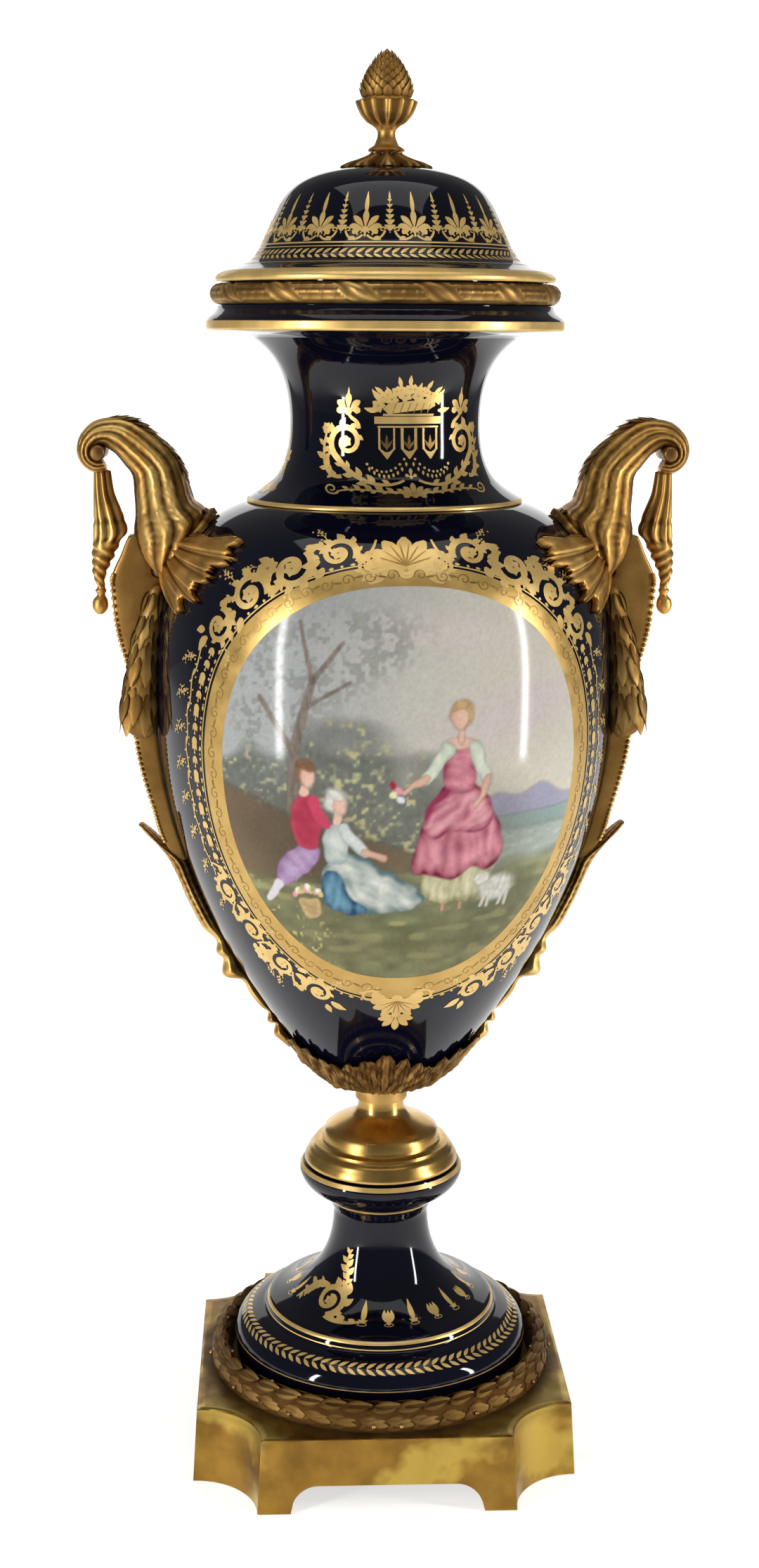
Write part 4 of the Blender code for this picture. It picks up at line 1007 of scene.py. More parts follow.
base_bronze = finish("base_bronze", base_tones, scale=44.0, rough=(0.24, 0.44), metallic=1.0,
                     patina_and_shade=(0.10, 0.062, 0.024), grain=0.12, grain_scale=600.0)
base = mapped("base_cast", 720, 30, base_place, base_bronze, sharp=0.6, solid=0.0042)
for vert in base.data.vertices:
    vert.co.z = max(vert.co.z, 0.0)
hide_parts("plinth")
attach(base, "root")

# Laurel wreath on the base: bronze, cast with the base and chased, its leaves laid over one another
# with berries between them.


def blade():
    """A leaf of unit length and width, with a vein and a rounded back, as points, faces and depths."""
    shape = bmesh.new()
    bmesh.ops.create_grid(shape, x_segments=4, y_segments=6, size=0.5)
    points, depths = [], []
    for vert in shape.verts:
        side, share = vert.co.x * 2, vert.co.y + 0.5
        wide = max(sin(pi * share ** 0.75), 0.03) ** 0.8
        vein = max(0, 1 - abs(side) * 4)
        back = 0.22 * (1 - side * side) * wide - 0.09 * vein * wide + 0.10 * share
        points.append((0.5 * side * wide, share, back))
        depths.append(0.15 + 0.6 * abs(side) + 0.4 * vein + 0.4 * (1 - share))
    faces = [[vert.index for vert in face.verts] for face in shape.faces]
    shape.free()
    return np.array(points), faces, np.array(depths)


def ball():
    shape = bmesh.new()
    bmesh.ops.create_icosphere(shape, subdivisions=2, radius=0.5)
    points = np.array([vert.co[:] for vert in shape.verts])
    faces = [[vert.index for vert in face.verts] for face in shape.faces]
    shape.free()
    return points, faces, np.full(len(points), 0.15)


def scattered(name, spots, *surfaces):
    """Many small castings as one piece. A spot has a template, its middle, two directions and its size."""
    points, faces, depths, base = [], [], [], 0
    for (shape, flats, darkened), centre, ahead, up, size in spots:
        ahead, up = np.array(ahead, float), np.array(up, float)
        ahead /= np.linalg.norm(ahead)
        aside = np.cross(ahead, up)
        aside /= np.linalg.norm(aside)
        axes = np.stack([aside, ahead, np.cross(aside, ahead)])
        points.append((shape * np.array(size)) @ axes + np.array(centre))
        faces += [[corner + base for corner in flat] for flat in flats]
        depths.append(darkened)
        base += len(shape)
    mesh = bpy.data.meshes.new(name)
    mesh.from_pydata(np.concatenate(points).tolist(), [], faces)
    mesh.attributes.new("hollow_and_shade", "FLOAT", "POINT").data.foreach_set("value", np.concatenate(depths))
    mesh.shade_smooth()
    return show(name, mesh, *surfaces)


leaf_shape, berry = blade(), ball()
wreath_middle, wreath_out, wreath_up = 0.0958, 0.0066, 0.0150
wreath_low = base_high - 0.001
wreath_leaf, berry_size = (0.0076, 0.0175, 0.0030), (0.0026, 0.0026, 0.0026)
wreath_leaves_round = 40
wreath_core = [(wreath_middle + 0.93 * wreath_out * cos(angle), wreath_low + 0.96 * wreath_up * sin(angle))
               for angle in np.linspace(-0.1, pi + 0.1, 20)]


# Painted shade: the wreath's core, seen only between the leaves, is coloured dark all over.
def wreath_core_painted_shade(turn, share):
    return 0.0, 0.95 + 0 * turn


core = turned_relief("wreath_core", wreath_core, 160, 18, wreath_core_painted_shade, bronze("wreath_bronze", matt_tones))
spots = []
for number in range(wreath_leaves_round):
    for row, tilt in ((12, 0.28), (36, -0.22), (62, 0.20), (90, -0.12), (120, -0.28)):
        turn = tau * (number + 0.5 * (row % 4 == 0) + 0.13 * sin(row * number)) / wreath_leaves_round
        angle = radians(row)
        out = np.array((sin(turn), -cos(turn), 0.0))
        round_way = np.array((cos(turn), sin(turn), 0.0))
        up = out * cos(angle) * wreath_up + np.array((0, 0, 1.0)) * sin(angle) * wreath_out
        up /= np.linalg.norm(up)
        across = np.cross(up, round_way)
        centre = out * (wreath_middle + wreath_out * cos(angle))
        centre += np.array((0, 0, wreath_low + wreath_up * sin(angle)))
        ahead = round_way + across * tilt - up * 0.075 * cos(angle)
        spots.append((leaf_shape, centre - 0.0085 * round_way - up * 0.0004, ahead, up, wreath_leaf))
        if (number * 3 + row // 24) % 9 == 0:
            spots.append((berry, centre + up * 0.0006 + across * 0.002, round_way, up, berry_size))
wreath = scattered("wreath_leaves", spots, bronze("wreath_leaf_bronze", matt_tones))
for piece in (core, wreath):
    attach(piece, "root")

# Stem between socle and urn: bronze, turned on a lathe and polished, clamped between the two
# porcelain pieces.

stem_low, stem_top = 0.1683, 0.2067
disc_edge = curve((0.0432, 0.1748), (0.0424, 0.1775), (0.0405, 0.1780), (0.0396, 0.1790), 6)
stem_waist = curve((0.0331, 0.1882), (0.0265, 0.1951), (0.0153, 0.1933), (0.0136, 0.2022), 22)
stem_outline = np.vstack([(0, stem_low), (0.0443, stem_low), (0.0452, 0.1688), (0.0455, 0.1699),
                          (0.0451, 0.1715), (0.0435, 0.1743), disc_edge, (0.0391, 0.1807), (0.0356, 0.1811),
                          (0.0348, 0.1818), (0.0345, 0.1835), (0.0340, 0.1858), stem_waist,
                          (0.0133, stem_top), (0, stem_top)])
stem_tones = ((0.62, 0.40, 0.125), (0.44, 0.26, 0.07))
polished = finish("stem_bronze", stem_tones, scale=30.0, rough=(0.20, 0.34), metallic=1.0)
stem_piece = lathe("turned_stem", stem_outline, 144, polished, closed=False)
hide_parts("stem_collar")
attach(stem_piece, "root")

# Leaf cup: bronze, cast thin as six lobed leaves with chased veins and matted ground, which holds
# the bottom of the urn on the stem.

cup_low, cup_hole, collar_share = 0.2072, 0.0146, 0.12
leaf_edge_at = (0, 2.5, 4.5, 6, 9, 12, 14.5, 16, 19, 22, 24.5, 27, 30)
leaf_edge_up = (0.0385, 0.0370, 0.0335, 0.0308, 0.0338, 0.0333, 0.0300, 0.0272, 0.0292, 0.0290, 0.0268,
                0.0255, 0.0240)


def cup_place(u, v):
    aside = np.abs(((u * 360 + 30) % 60) - 30)
    edge = np.interp(aside, leaf_edge_at, leaf_edge_up) + 0.0011 * np.sin(u * tau * 41) * soft(aside, 2, 6)
    share = np.clip((v - collar_share) / (1 - collar_share), 0, 1)
    height = body_low + 0.0006 + (edge - 0.0006) * share
    along = level(body_skin, height)
    vein = np.exp(-(aside / 1.6) ** 2)
    for middle, slope in ((9.5, 5.5), (19.5, 8.0)):
        vein += 0.8 * np.exp(-((aside - middle + slope * (1 - share)) / 1.2) ** 2)
    furrow = 0.5 + 0.5 * np.cos(tau * aside / 3.3 + 3 * share)
    curl = 0.5 + 0.5 * np.cos(tau * (0.10 * aside - 2.6 * share + 0.25 * np.sin(u * tau * 7)))
    grain = np.sin(u * tau * 97 + 9 * share) * np.sin(31 * share + u * tau * 23)
    cut = ((0.0012 * vein - 0.0006 * furrow + 0.0008 * curl + 0.0004 * grain)
           * np.clip((v - collar_share) / 0.10, 0, 1))
    rise = 0.0017 + cut + 0.0009 * share ** 4 + 0.0006 * np.sin(pi * share)
    x, y, z = laid(body_skin, u * tau, along, rise)
    away = np.hypot(x, y)
    grow = np.where(v < collar_share, cup_hole / away, np.maximum(1.0, cup_hole / away))
    z = np.where(v < collar_share, cup_low + (z - cup_low) * v / collar_share, z)
    darkened = np.clip(0.95 - vein * 0.6 - 0.5 * curl + 0.5 * furrow - 0.3 * grain, 0, 1)
    return x * grow, y * grow, z, darkened * np.clip((v - 0.10) / 0.08, 0, 1)


cup_bronze = bronze("cup_bronze", ((0.37, 0.205, 0.060), (0.24, 0.125, 0.036), (0.52, 0.32, 0.105)))
cup = mapped("leaf_cup_cast", 540, 34, cup_place, cup_bronze, sharp=1.2, solid=0.0006)
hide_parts("leaf_cup")
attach(cup, "root")

# Leaf rosette under the finial: bronze, cast as nine pointed leaves that lie on the lid, and held by
# the finial's screw.

cap_outline = [(0.0254, 0.7378), (0.0250, 0.7390), (0.0215, 0.7404), (0.0160, 0.7420), (0.0118, 0.7436),
               (0.0092, 0.7450), (0.0080, 0.7461)]


def cap_relief(turn, share):
    aside = np.abs(((turn * 9 / tau) % 1) - 0.5) * 2
    vein = np.exp(-((1 - aside) / 0.16) ** 2) + 0.6 * np.exp(-((aside - 0.55 - 0.3 * share) / 0.10) ** 2)
    hollow_and_shade = np.clip(0.8 - 0.7 * vein + 0.3 * (1 - share), 0, 1)
    return -0.0005 + 0.0007 * vein - 0.0008 * soft(aside, 0.3, 0.0), hollow_and_shade


def cap_place(u, v):
    rise, hollow_and_shade = cap_relief(u * tau, v)
    x, y, z = laid(cap_skin, u * tau, v * cap_skin[0][-1], rise)
    aside = np.abs(((u * 9) % 1) - 0.5) * 2
    trim = 1 - (0.17 * (1 - aside) ** 1.2 + 0.04 * np.cos(tau * aside * 2)) * soft(v, 0.5, 0.0)
    return x * trim, y * trim, z, hollow_and_shade


cap_skin = measured(cap_outline)
cap = mapped("finial_leaves", 270, 22, cap_place, bronze("cap_bronze"), sharp=1.2, solid=0.0008)
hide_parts("finial_cap")
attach(cap, "root")

# Finial: bronze pine cone in a leafy cup on a turned stem, cast in one piece and screwed through
# the lid's rosette.

finial_low = 0.7464
finial_outline = [(0.0, finial_low), (0.0102, finial_low), (0.0101, 0.7475), (0.0083, 0.7486),
                  (0.0066, 0.7496), (0.0062, 0.7508), (0.0052, 0.7530), (0.0047, 0.7552), (0.0050, 0.7574),
                  (0.0071, 0.7595), (0.0110, 0.7618), (0.0140, 0.7652), (0.0158, 0.7690), (0.0167, 0.7715),
                  (0.0170, 0.7725), (0.0160, 0.7731), (0.0128, 0.7733), (0.0125, 0.7760), (0.0110, 0.7840),
                  (0.0080, 0.7920), (0.0, 0.7990)]


def finial_relief(turn, share):
    on_cup = soft(share, 0.30, 0.36) * soft(share, 0.62, 0.58)
    aside = np.abs(((turn * 12 / tau) % 1) - 0.5) * 2
    vein = np.exp(-((1 - aside) / 0.3) ** 2)
    return on_cup * (-0.0012 + 0.0012 * vein), np.clip(on_cup * (0.9 - vein), 0, 1)


core = turned_relief("finial_core", finial_outline, 120, 64, finial_relief, bronze("finial_bronze"))
spots = []
cone = measured([(0.0136, 0.7728), (0.0139, 0.7769), (0.0131, 0.7812), (0.0116, 0.7856), (0.0095, 0.7900),
                 (0.0065, 0.7946), (0.0026, 0.7988)])
for row, count in enumerate((16, 16, 15, 15, 14, 13, 12, 10, 8, 6, 4)):
    along = 0.0004 + row * 0.00252
    for number in range(count):
        turn = tau * (number + 0.5 * (row % 2)) / count
        centre = np.array(laid(cone, turn, along, -0.0018))
        ahead = np.array(laid(cone, turn, along + 0.002, -0.0012)) - centre
        up = np.array((sin(turn), -cos(turn), 0.25))
        size = 1 - 0.035 * row
        spots.append((leaf_shape, centre, ahead, up, (0.0060 * size, 0.0072 * size, 0.0050)))
scales = scattered("finial_scales", spots, bronze("scale_bronze"))
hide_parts("finial")
for piece in (core, scales):
    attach(piece, "root")

# Handles, left and right: bronze castings pinned to the shoulder, each a scroll with a fluted face
# and a leafy back that spreads below into an acanthus leaf.

eye_place = (0.1581, 0.5855)


def smooth(table, t):
    """Values between the rows of a table, on a smooth line through them."""
    rows = np.array(table, float)
    rows = np.vstack([2 * rows[0] - rows[1], rows, 2 * rows[-1] - rows[-2]])
    first = np.clip(t.astype(int), 0, len(table) - 2)
    f = (t - first)[:, None]
    a, b, c, d = (rows[first + k] for k in range(4))
    return (b + 0.5 * f * (c - a + f * (2 * a - 5 * b + 4 * c - d + f * (3 * (b - c) + d - a)))).T


def body_width(height):
    return np.interp(height, body_skin[2], body_skin[1])


def cast_form(side, table, relief_and_shade, square=1.0, least=0.0006):
    """A bronze skin over a table of (outer x, outer z, inner x, inner z, low, high across)."""
    blunt = 0.10

    def place(u, v):
        t = v * (len(table) - 1)
        outer_x, outer_z, inner_x, inner_z, low, high = smooth(table, t)
        angle = u * tau
        swell, hollow_and_shade = relief_and_shade(angle, t)
        closing = np.sqrt(np.clip(np.minimum(t, len(table) - 1 - t) / blunt, 0.0, 1))
        c, s = np.cos(angle), np.sin(angle)
        along = 0.5 + 0.5 * swell * closing * np.sign(c) * np.abs(c) ** square
        over = 0.5 + 0.5 * swell * closing * np.sign(s) * np.abs(s) ** square
        height = inner_z + (outer_z - inner_z) * along
        radius = np.maximum(inner_x + (outer_x - inner_x) * along, body_width(height) + least)
        turn = (low + (high - low) * over) / radius
        return side * radius * np.cos(turn), radius * np.sin(turn), height, np.clip(hollow_and_shade, 0, 1)

    return place


def on_form(place, places, size, tuck, rise):
    """Leaves that lie on a form and point along it, at the given places (u, v)."""
    spots = []
    for u, v in places:
        x, y, z, _ = place(np.array([u, u, u + 0.01, u + 0.5]), np.array([v, v + 0.004, v, v]))
        at, on, beside, opposite = np.stack([x, y, z], axis=1)
        ahead = (on - at) / np.linalg.norm(on - at)
        up = np.cross(ahead, beside - at)
        up *= np.sign(up @ (at - opposite)) / np.linalg.norm(up)
        spots.append((leaf_shape, at - tuck * up, ahead + rise * up, up, size))
    return spots


horn_table = []
for step in range(7):
    turn = -2.0 + 0.70 * step
    share = (turn + 2.0) / 4.62
    outer, inner = 0.0119 + 0.0173 * share ** 4, 0.0036 - 0.0006 * sin(pi * share)
    half = 0.0095 + 0.0040 * share
    horn_table.append((eye_place[0] + outer * cos(turn), eye_place[1] + outer * sin(turn),
                       eye_place[0] + inner * cos(turn), eye_place[1] + inner * sin(turn), -half, half))
for ridge_x, ridge_z, hollow_x, hollow_z, half in (
        (-0.0254, 0.0146, -0.0081, -0.0010, 0.0140), (-0.0377, 0.0050, -0.0136, -0.0075, 0.0155),
        (-0.0449, -0.0043, -0.0175, -0.0132, 0.0180), (-0.0491, -0.0155, -0.0183, -0.0218, 0.0215),
        (-0.0525, -0.0258, -0.0187, -0.0339, 0.0270), (-0.0590, -0.0325, -0.0176, -0.0455, 0.0340),
        (-0.0500, -0.0470, -0.0210, -0.0560, 0.0370), (-0.0390, -0.0610, -0.0280, -0.0645, 0.0310),
        (-0.0400, -0.0660, -0.0340, -0.0700, 0.0230)):
    horn_table.append((eye_place[0] + ridge_x, eye_place[1] + ridge_z,
                       eye_place[0] + hollow_x, eye_place[1] + hollow_z, -half, half))


def horn_relief(angle, t):
    off_ridge = np.abs((angle + pi) % tau - pi)
    ribs = 0.5 + 0.5 * np.cos(angle * 10 + 0.35 * np.sin(1.9 * t) * np.sign(angle - pi))
    ribs = ribs ** 0.7
    fade = soft(off_ridge, 0.30, 0.65)
    # Painted shade: the scroll's inner side, away from its fluted ridge, is made a quarter darker.
    back = soft(off_ridge, 2.3, 2.9)
    worn = value_noise(angle * 8, t * 6, 1.0, 3)
    swell = 0.975 - (0.070 + 0.04 * worn) * (1 - ribs) * fade * (1 - 0.7 * back) - 0.012 * worn
    return swell, (1 - ribs) * fade * 0.85 + 0.25 * back + 0.2 * worn


lobe_edge = [(0.0, 0.1042), (0.020, 0.1012), (0.032, 0.0930), (0.045, 0.0950), (0.060, 0.0915),
             (0.075, 0.0965), (0.078, 0.0890), (0.084, 0.0855), (0.073, 0.0800), (0.078, 0.0760),
             (0.066, 0.0705), (0.074, 0.0635), (0.058, 0.0650), (0.059, 0.0565), (0.046, 0.0600),
             (0.045, 0.0640), (0.033, 0.0655), (0.033, 0.0690), (0.020, 0.0690), (0.014, 0.0725),
             (0.0, 0.0715)]
lobe_edge = lobe_edge + [(-across, up) for across, up in lobe_edge[-2:0:-1]] + lobe_edge[:1]


def spread_leaf(side):
    def place(u, v):
        t = u * (len(lobe_edge) - 1)
        across, up = smooth(lobe_edge, t)
        share = np.minimum(v / 0.94, 1)
        fringe = 1 + (0.030 * np.cos(t * tau * 1.5) + 0.022 * np.cos(t * tau * 3.5 + 1)) * share
        height = belly + 0.0860 + (up - 0.0860) * share * fringe
        ribs = 0.5 + 0.5 * np.cos(t * pi * 1.0)
        fine = 0.5 + 0.5 * np.cos(t * pi * 3.0)
        lift = np.interp(share, (0, 0.36, 0.72, 0.92, 1.0), (0.0074, 0.0072, 0.0058, 0.0038, 0.0026))
        chased = 0.0024 * (ribs - 0.5) + 0.0010 * (fine - 0.5)
        lift = lift + chased * np.sin(pi * np.clip(share, 0.05, 0.95)) + 0.0012 * soft(share, 0.75, 1.0)
        lift = np.where(v > 0.94, 0.0004 + (lift - 0.0004) * (1 - v) / 0.06, lift)
        along = level(body_skin, height)
        radius = np.interp(along, body_skin[0], body_skin[1])
        turn = across * share * fringe / radius
        px, py, pz = laid(body_skin, turn, along, lift)
        return -side * py, px, pz, np.clip(0.75 - 0.5 * ribs - 0.25 * fine + 0.3 * (1 - share), 0, 1)

    return place


def boss(side):
    end = [(0.0042, 0.0130), (0.0040, 0.0142), (0.0030, 0.0149), (0, 0.0150)]
    pin_side = np.array([(radius, -across) for radius, across in end[::-1]] + end)

    def place(u, v):
        at = v * (len(pin_side) - 1)
        radius, across = (np.interp(at, np.arange(len(pin_side)), pin_side[:, i]) for i in (0, 1))
        x = side * (eye_place[0] + radius * np.cos(u * tau))
        return x, across, eye_place[1] + radius * np.sin(u * tau), 0.1 + 0 * u

    return place


for side, word in ((-1, "left"), (1, "right")):
    horn_form = cast_form(side, horn_table, horn_relief, least=0.0010)
    horn = mapped("scroll_" + word, 126, 214, horn_form, bronze("scroll_bronze_" + word), sharp=1.4)
    places = [(u % 1.0, (5.2 + 0.42 * number + 0.2 * (u != 0)) / 15)
              for number in range(18) for u in (-0.045, 0, 0.045)]
    spots = on_form(horn_form, places, (0.0070, 0.0130, 0.0034), tuck=0.0010, rise=0.02)
    ridge = scattered("scroll_ridge_" + word, spots, bronze("ridge_bronze_" + word))
    leaf_bronze = bronze("leaf_bronze_" + word)
    spread = mapped("shoulder_leaf_" + word, 320, 34, spread_leaf(side), leaf_bronze, sharp=1.4)
    # Painted shade: the eye's pin is coloured darker than the other bronze, because the eye sits recessed
    # behind the drape's top.
    eye_painted_shade_bronze = bronze("eye_painted_shade_bronze_" + word, ((0.26, 0.14, 0.045), (0.18, 0.09, 0.03)))
    pin = mapped("scroll_eye_" + word, 40, 7, boss(side), eye_painted_shade_bronze, sharp=0.9)
    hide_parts("horn_" + word)
    for piece in (horn, ridge, spread, pin):
        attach(piece, "root")

# Drape below each scroll: pleated cloth cast in bronze, hung from the scroll's eye and gathered to a
# twisted cord with a ball.

drape_top = 0.5730
drape_rows = (
    (-0.0035, 0.0034, -0.0060, 0.0050), (0.0093, 0.0037, -0.0078, 0.0070), (0.0180, 0.0039, -0.0110, 0.0085),
    (0.0260, 0.0043, -0.0140, 0.0100), (0.0320, 0.0046, -0.0147, 0.0105), (0.0370, 0.0051, -0.0112, 0.0100),
    (0.0440, 0.0057, -0.0082, 0.0085), (0.0500, 0.0056, -0.0050, 0.0070), (0.0560, 0.0053, -0.0024, 0.0055),
    (0.0625, 0.0029, -0.0016, 0.0032), (0.0645, 0.0041, -0.0023, 0.0038), (0.0670, 0.0030, -0.0015, 0.0030),
    (0.0700, 0.0053, -0.0028, 0.0042), (0.0740, 0.0057, -0.0030, 0.0044), (0.0770, 0.0041, -0.0012, 0.0030),
    (0.0782, 0.0024, 0.0008, 0.0012))
drape_table = [(eye_place[0] + outer, drape_top - drop, eye_place[0] + inner, drape_top - drop, -half, half)
               for drop, outer, inner, half in drape_rows]


def drape_relief(angle, t):
    cloth, cord = soft(t, 5.4, 4.6), soft(t, 5.0, 5.8) * soft(t, 9.2, 8.6)
    pleats = 0.5 + 0.5 * np.cos(angle * 8 + 0.5 * t)
    twist = 0.5 + 0.5 * np.cos(angle * 3 + t * 7.5)
    knot = np.exp(-((t - 4.9) / 0.35) ** 2) + np.exp(-((t - 2.9) / 0.25) ** 2)
    swell = 1.0 - cloth * 0.20 * (1 - pleats) - cord * 0.20 * (1 - twist) - 0.06 * knot
    return swell, cloth * (1 - pleats) * 0.9 + cord * (1 - twist) * 0.8 + 0.3 * knot


for side, word in ((-1, "left"), (1, "right")):
    drape_form = cast_form(side, drape_table, drape_relief)
    drape = mapped("drape_cast_" + word, 68, 130, drape_form, bronze("drape_bronze_" + word), sharp=1.4)
    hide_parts("drape_" + word)
    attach(drape, "root")

# Bracket below each handle: a flat bronze strap that stands off the body, cast with a row of beads
# along both edges.

half_strap = 0.0095
fit_gap = 0.0003
bead_inset, bead_sunk = 0.0006, 0.0007
strap_head = ((0.0935, 0.0078, 0.0142), (0.0885, 0.0066, 0.0166), (0.0825, 0.0040, 0.0190),
              (0.0765, 0.0014, 0.0220), (0.0715, 0.0006, 0.0240))
strap_rows = ((0.0665, 0.0308), (0.0475, 0.0252), (0.0335, 0.0212), (0.0190, 0.0167), (0.0, 0.0149),
              (-0.0200, 0.0136), (-0.0350, 0.0127), (-0.0500, 0.0114), (-0.0650, 0.0104), (-0.0750, 0.0104),
              (-0.0850, 0.0094), (-0.0930, 0.0080))
bracket_table = [(belly_radius + outer, belly + up, belly_radius + inner, belly + up, -half_strap,
                  half_strap) for up, inner, outer in strap_head]
for up, off in strap_rows:
    width = float(body_width(belly + up)) + fit_gap
    bracket_table.append((width + off, belly + up, width, belly + up, -half_strap, half_strap))


def bracket_relief(angle, t):
    face = np.abs(np.sin(angle))
    return 1.0 - 0.045 * soft(face, 0.55, 0.95), 0.55 * soft(face, 0.5, 0.95) + 0 * t


for side, word in ((-1, "left"), (1, "right")):
    strap_bronze = bronze("strap_bronze_" + word, ((0.52, 0.30, 0.085), (0.35, 0.19, 0.05)))
    strap_form = cast_form(side, bracket_table, bracket_relief, square=0.3)
    strap = mapped("strap_" + word, 48, 126, strap_form, strap_bronze, sharp=1.4)
    spots = []
    for number in range(52):
        t = np.array([4.0 + 10.6 * number / 51])
        outer_x, outer_z = (float(value[0]) for value in smooth(bracket_table, t)[:2])
        for across in (-half_strap + bead_inset, half_strap - bead_inset):
            turn = across / outer_x
            away = outer_x - bead_sunk
            centre = (side * away * cos(turn), away * sin(turn), outer_z)
            spots.append((berry, centre, (0, 0, 1), (side, 0, 0), berry_size))
    beads = scattered("strap_beads_" + word, spots, bronze("bead_bronze_" + word))
    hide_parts("bracket_" + word)
    for piece in (strap, beads):
        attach(piece, "root")

# Laurel drops on the two faces of each strap: bronze, cast as long leaves bound together and pinned
# to the strap.

garland_rows = ((0.0675, 0.0020, 0.0090, 0.0080), (0.0500, 0.0004, 0.0108, 0.0095),
                (0.0380, 0.0004, 0.0132, 0.0100), (0.0260, 0.0004, 0.0152, 0.0115),
                (0.0140, 0.0004, 0.0176, 0.0115), (0.0040, 0.0004, 0.0192, 0.0125),
                (-0.0085, 0.0004, 0.0200, 0.0130), (-0.0165, 0.0020, 0.0168, 0.0100),
                (-0.0202, 0.0060, 0.0110, 0.0050))


def garland_table(face):
    table = []
    for up, inner, outer, thick in garland_rows:
        width = float(body_width(belly + up)) + fit_gap
        low, high = half_strap + fit_gap, half_strap + fit_gap + thick
        if face == "front":
            low, high = -high, -low
        table.append((width + outer, belly + up, width + inner, belly + up, low, high))
    return table


# Painted shade: the laurel's core, seen between the leaves and against the body, is coloured dark all over.
def garland_core_painted_shade(angle, t):
    return 0.93 + 0 * t, 0.7 + 0 * t


for side, word in ((-1, "left"), (1, "right")):
    for face in ("front", "back"):
        ending = face + "_" + word
        form = cast_form(side, garland_table(face), garland_core_painted_shade, square=0.8)
        core = mapped("laurel_" + ending, 48, 72, form, bronze("laurel_bronze_" + ending), sharp=1.4)
        places = [((number + 0.5 * (row % 2)) / 7, 0.02 + 0.078 * row)
                  for row in range(9) for number in range(7)]
        spots = on_form(form, places, (0.0088, 0.0200, 0.0046), tuck=0.0006, rise=0.03)
        leaves = scattered("laurel_leaves_" + ending, spots, bronze("laurel_leaf_bronze_" + ending))
        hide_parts("garland_" + ending)
        for piece in (core, leaves):
            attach(piece, "root")

# Lower mount under each strap: bronze, cast in one as a leaf with a curled tip, then buds and rings
# that taper down the bowl to the leaf cup.

mount_rows = ((-0.0907, 0.0107, 0.0120), (-0.1012, 0.0096, 0.0118), (-0.1108, 0.0098, 0.0100),
              (-0.1202, 0.0096, 0.0082), (-0.1304, 0.0090, 0.0066), (-0.1396, 0.0056, 0.0042),
              (-0.1450, 0.0088, 0.0082), (-0.1500, 0.0076, 0.0062), (-0.1570, 0.0124, 0.0092),
              (-0.1640, 0.0048, 0.0040), (-0.1720, 0.0054, 0.0042), (-0.1800, 0.0046, 0.0038),
              (-0.1846, 0.0030, 0.0030), (-0.1881, 0.0064, 0.0058), (-0.1912, 0.0038, 0.0036),
              (-0.1950, 0.0080, 0.0066), (-0.1990, 0.0074, 0.0062), (-0.2045, 0.0060, 0.0050))


def off_bowl(up, standoff):
    along = level(body_skin, belly + up)
    out, _, height = laid(body_skin, pi / 2, along, standoff + fit_gap)
    return float(out), float(height)


mount_table = [(*off_bowl(up, outer), *off_bowl(up, inner), -half, half) for up, outer, inner, half in (
    (-0.0670, 0.0216, 0.0186, 0.0050), (-0.0735, 0.0178, 0.0140, 0.0085), (-0.0806, 0.0134, 0.0098, 0.0105))]
mount_table += [(*off_bowl(up, outer), *off_bowl(up, 0.0004), -half, half) for up, outer, half in mount_rows]


def mount_relief(angle, t):
    leafy = soft(t, 7.5, 6.5)
    ribs = 0.5 + 0.5 * np.cos(angle * 8)
    barbs = (t * 2.2 + 0.5 * np.abs(np.sin(angle))) % 1.0
    swell = 1.0 - leafy * (0.12 * (1 - ribs) + 0.07 * barbs) - 0.04 * (1 - ribs) * (1 - leafy)
    return swell, leafy * (0.7 * (1 - ribs) + 0.4 * barbs) + 0.3 * (1 - leafy) * (1 - ribs)


for side, word in ((-1, "left"), (1, "right")):
    mount_form = cast_form(side, mount_table, mount_relief)
    mount = mapped("bowl_mount_" + word, 60, 160, mount_form, bronze("mount_bronze_" + word), sharp=1.4)
    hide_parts("lower_mount_" + word)
    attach(mount, "root")

# Light, floor and camera: a plain pale floor that fades away and a pale backdrop, two upright strip
# lights and a wide soft one above, and a camera where the photograph was taken from.


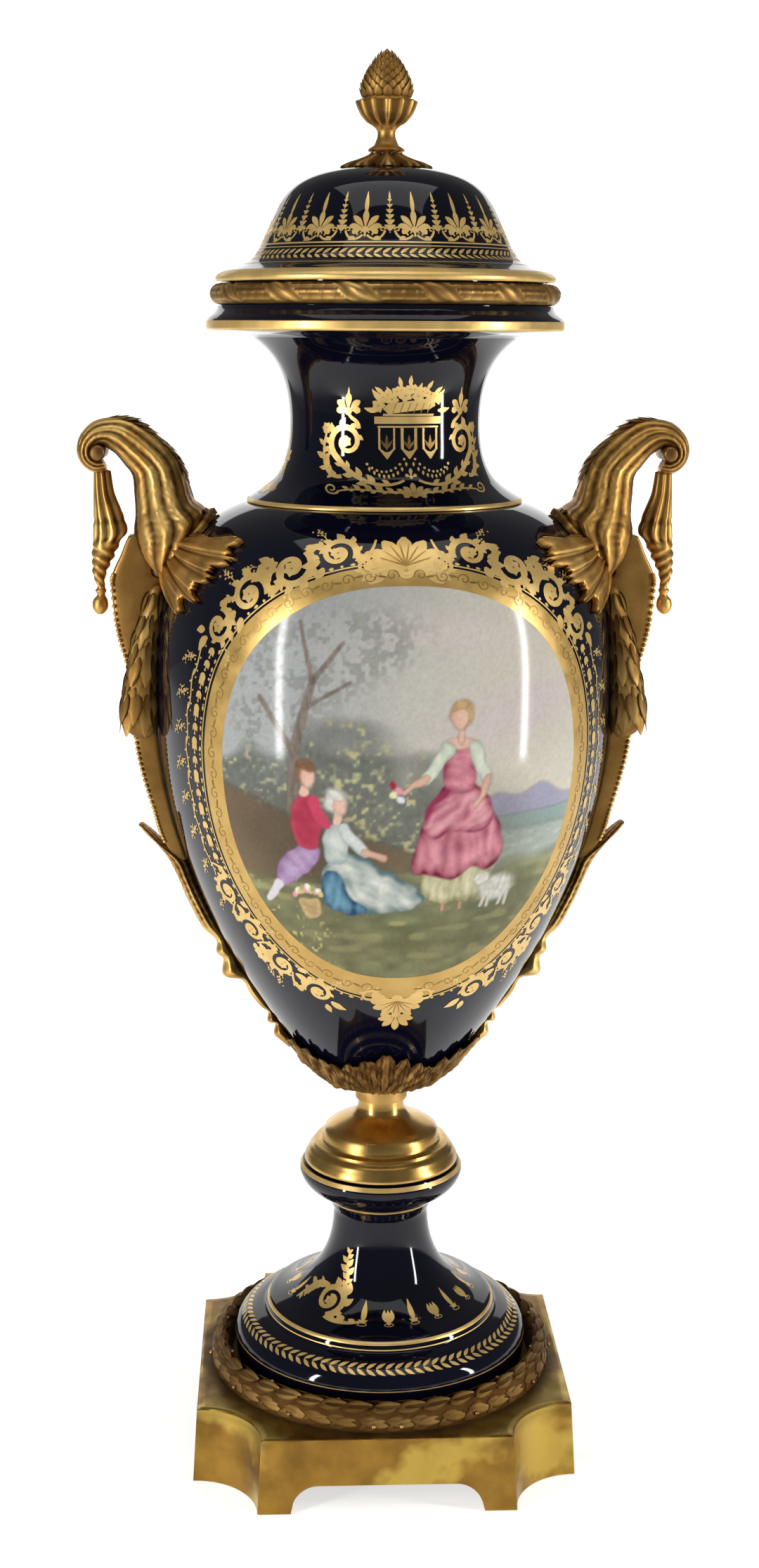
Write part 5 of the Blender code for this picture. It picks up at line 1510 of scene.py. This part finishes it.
def card(name, centre, size, facing, tone, strength, fade=None):
    shape = bmesh.new()
    bmesh.ops.create_grid(shape, x_segments=1, y_segments=1, size=0.5)
    bmesh.ops.scale(shape, verts=shape.verts[:], vec=(size[0], size[1], 1))
    turn = Vector(facing).to_track_quat("Z", "Y").to_matrix().to_4x4()
    bmesh.ops.transform(shape, matrix=Matrix.Translation(centre) @ turn, verts=shape.verts[:])
    mesh = bpy.data.meshes.new(name)
    shape.to_mesh(mesh)
    shape.free()
    surface = bpy.data.materials.new(name)
    surface.use_nodes = True
    shader = surface.node_tree.nodes["Principled BSDF"]
    shader.inputs["Base Color"].default_value = (*tone, 1)
    shader.inputs["Roughness"].default_value = 0.9
    shader.inputs["Emission Color"].default_value = (1, 1, 1, 1)
    shader.inputs["Emission Strength"].default_value = strength
    if fade:
        nodes, links = surface.node_tree.nodes, surface.node_tree.links
        away = nodes.new("ShaderNodeVectorMath")
        away.operation = "DISTANCE"
        away.inputs[1].default_value = (0, 1.1, 0)
        links.new(nodes.new("ShaderNodeTexCoord").outputs["Object"], away.inputs[0])
        dim = nodes.new("ShaderNodeMapRange")
        dim.interpolation_type = "SMOOTHSTEP"
        dim.inputs["From Min"].default_value, dim.inputs["From Max"].default_value = fade
        dim.inputs["To Min"].default_value, dim.inputs["To Max"].default_value = 1.0, 0.12
        links.new(away.outputs["Value"], dim.inputs["Value"])
        links.new(dim.outputs["Result"], shader.inputs["Emission Color"])
    piece = show(name, mesh, surface)
    return piece


pale = (0.80, 0.795, 0.78)
card("floor", (0, -1.4, -0.0005), (9.0, 8.0), (0, 0, 1), pale, 0.64, fade=(1.5, 3.0))
card("backdrop", (0, 2.6, 0.8), (3.0, 1.7), (0, -1, 0), pale, 0.92)


def lamp(name, centre, aim, size, power):
    light = bpy.data.lights.new(name, "AREA")
    light.shape = "RECTANGLE"
    light.size, light.size_y = size
    light.energy = power
    holder = bpy.data.objects.new(name, light)
    bpy.context.scene.collection.objects.link(holder)
    holder.location = centre
    holder.rotation_euler = (Vector(aim) - Vector(centre)).to_track_quat("-Z", "Y").to_euler()


lamp("strip_left", (-1.39, -1.05, 0.45), (0, 0, 0.45), (0.11, 1.5), 23)
lamp("strip_right", (1.60, -0.62, 0.45), (0, 0, 0.45), (0.11, 1.5), 20)
lamp("overhead", (0.0, -0.3, 2.6), (0, 0, 0.4), (2.2, 1.8), 17)
world = bpy.data.worlds.new("surroundings")
world.use_nodes = True
world.node_tree.nodes["Background"].inputs["Color"].default_value = (1.0, 0.99, 0.97, 1)
world.node_tree.nodes["Background"].inputs["Strength"].default_value = 0.16
bpy.context.scene.world = world

camera_turn = radians(-2.5)
camera_pitch = radians(12.19)
camera_away = 1.191
camera_aside = -0.0019
camera_height = 0.6538
camera_roll = radians(0.3)
camera = bpy.data.cameras.new("camera")
camera.sensor_fit = "VERTICAL"
camera.sensor_height = 36
camera.lens = 48.58
camera.clip_start = 0.01
viewer = bpy.data.objects.new("camera", camera)
bpy.context.scene.collection.objects.link(viewer)
swing = Matrix.Rotation(camera_turn, 4, "Z")
stand = Matrix.Translation(swing @ Vector((camera_aside, -camera_away, camera_height)))
viewer.matrix_world = (stand @ swing @ Matrix.Rotation(pi / 2 - camera_pitch, 4, "X")
                       @ Matrix.Rotation(camera_roll, 4, "Z"))
bpy.context.scene.camera = viewer
bpy.context.scene.view_settings.view_transform = "Standard"
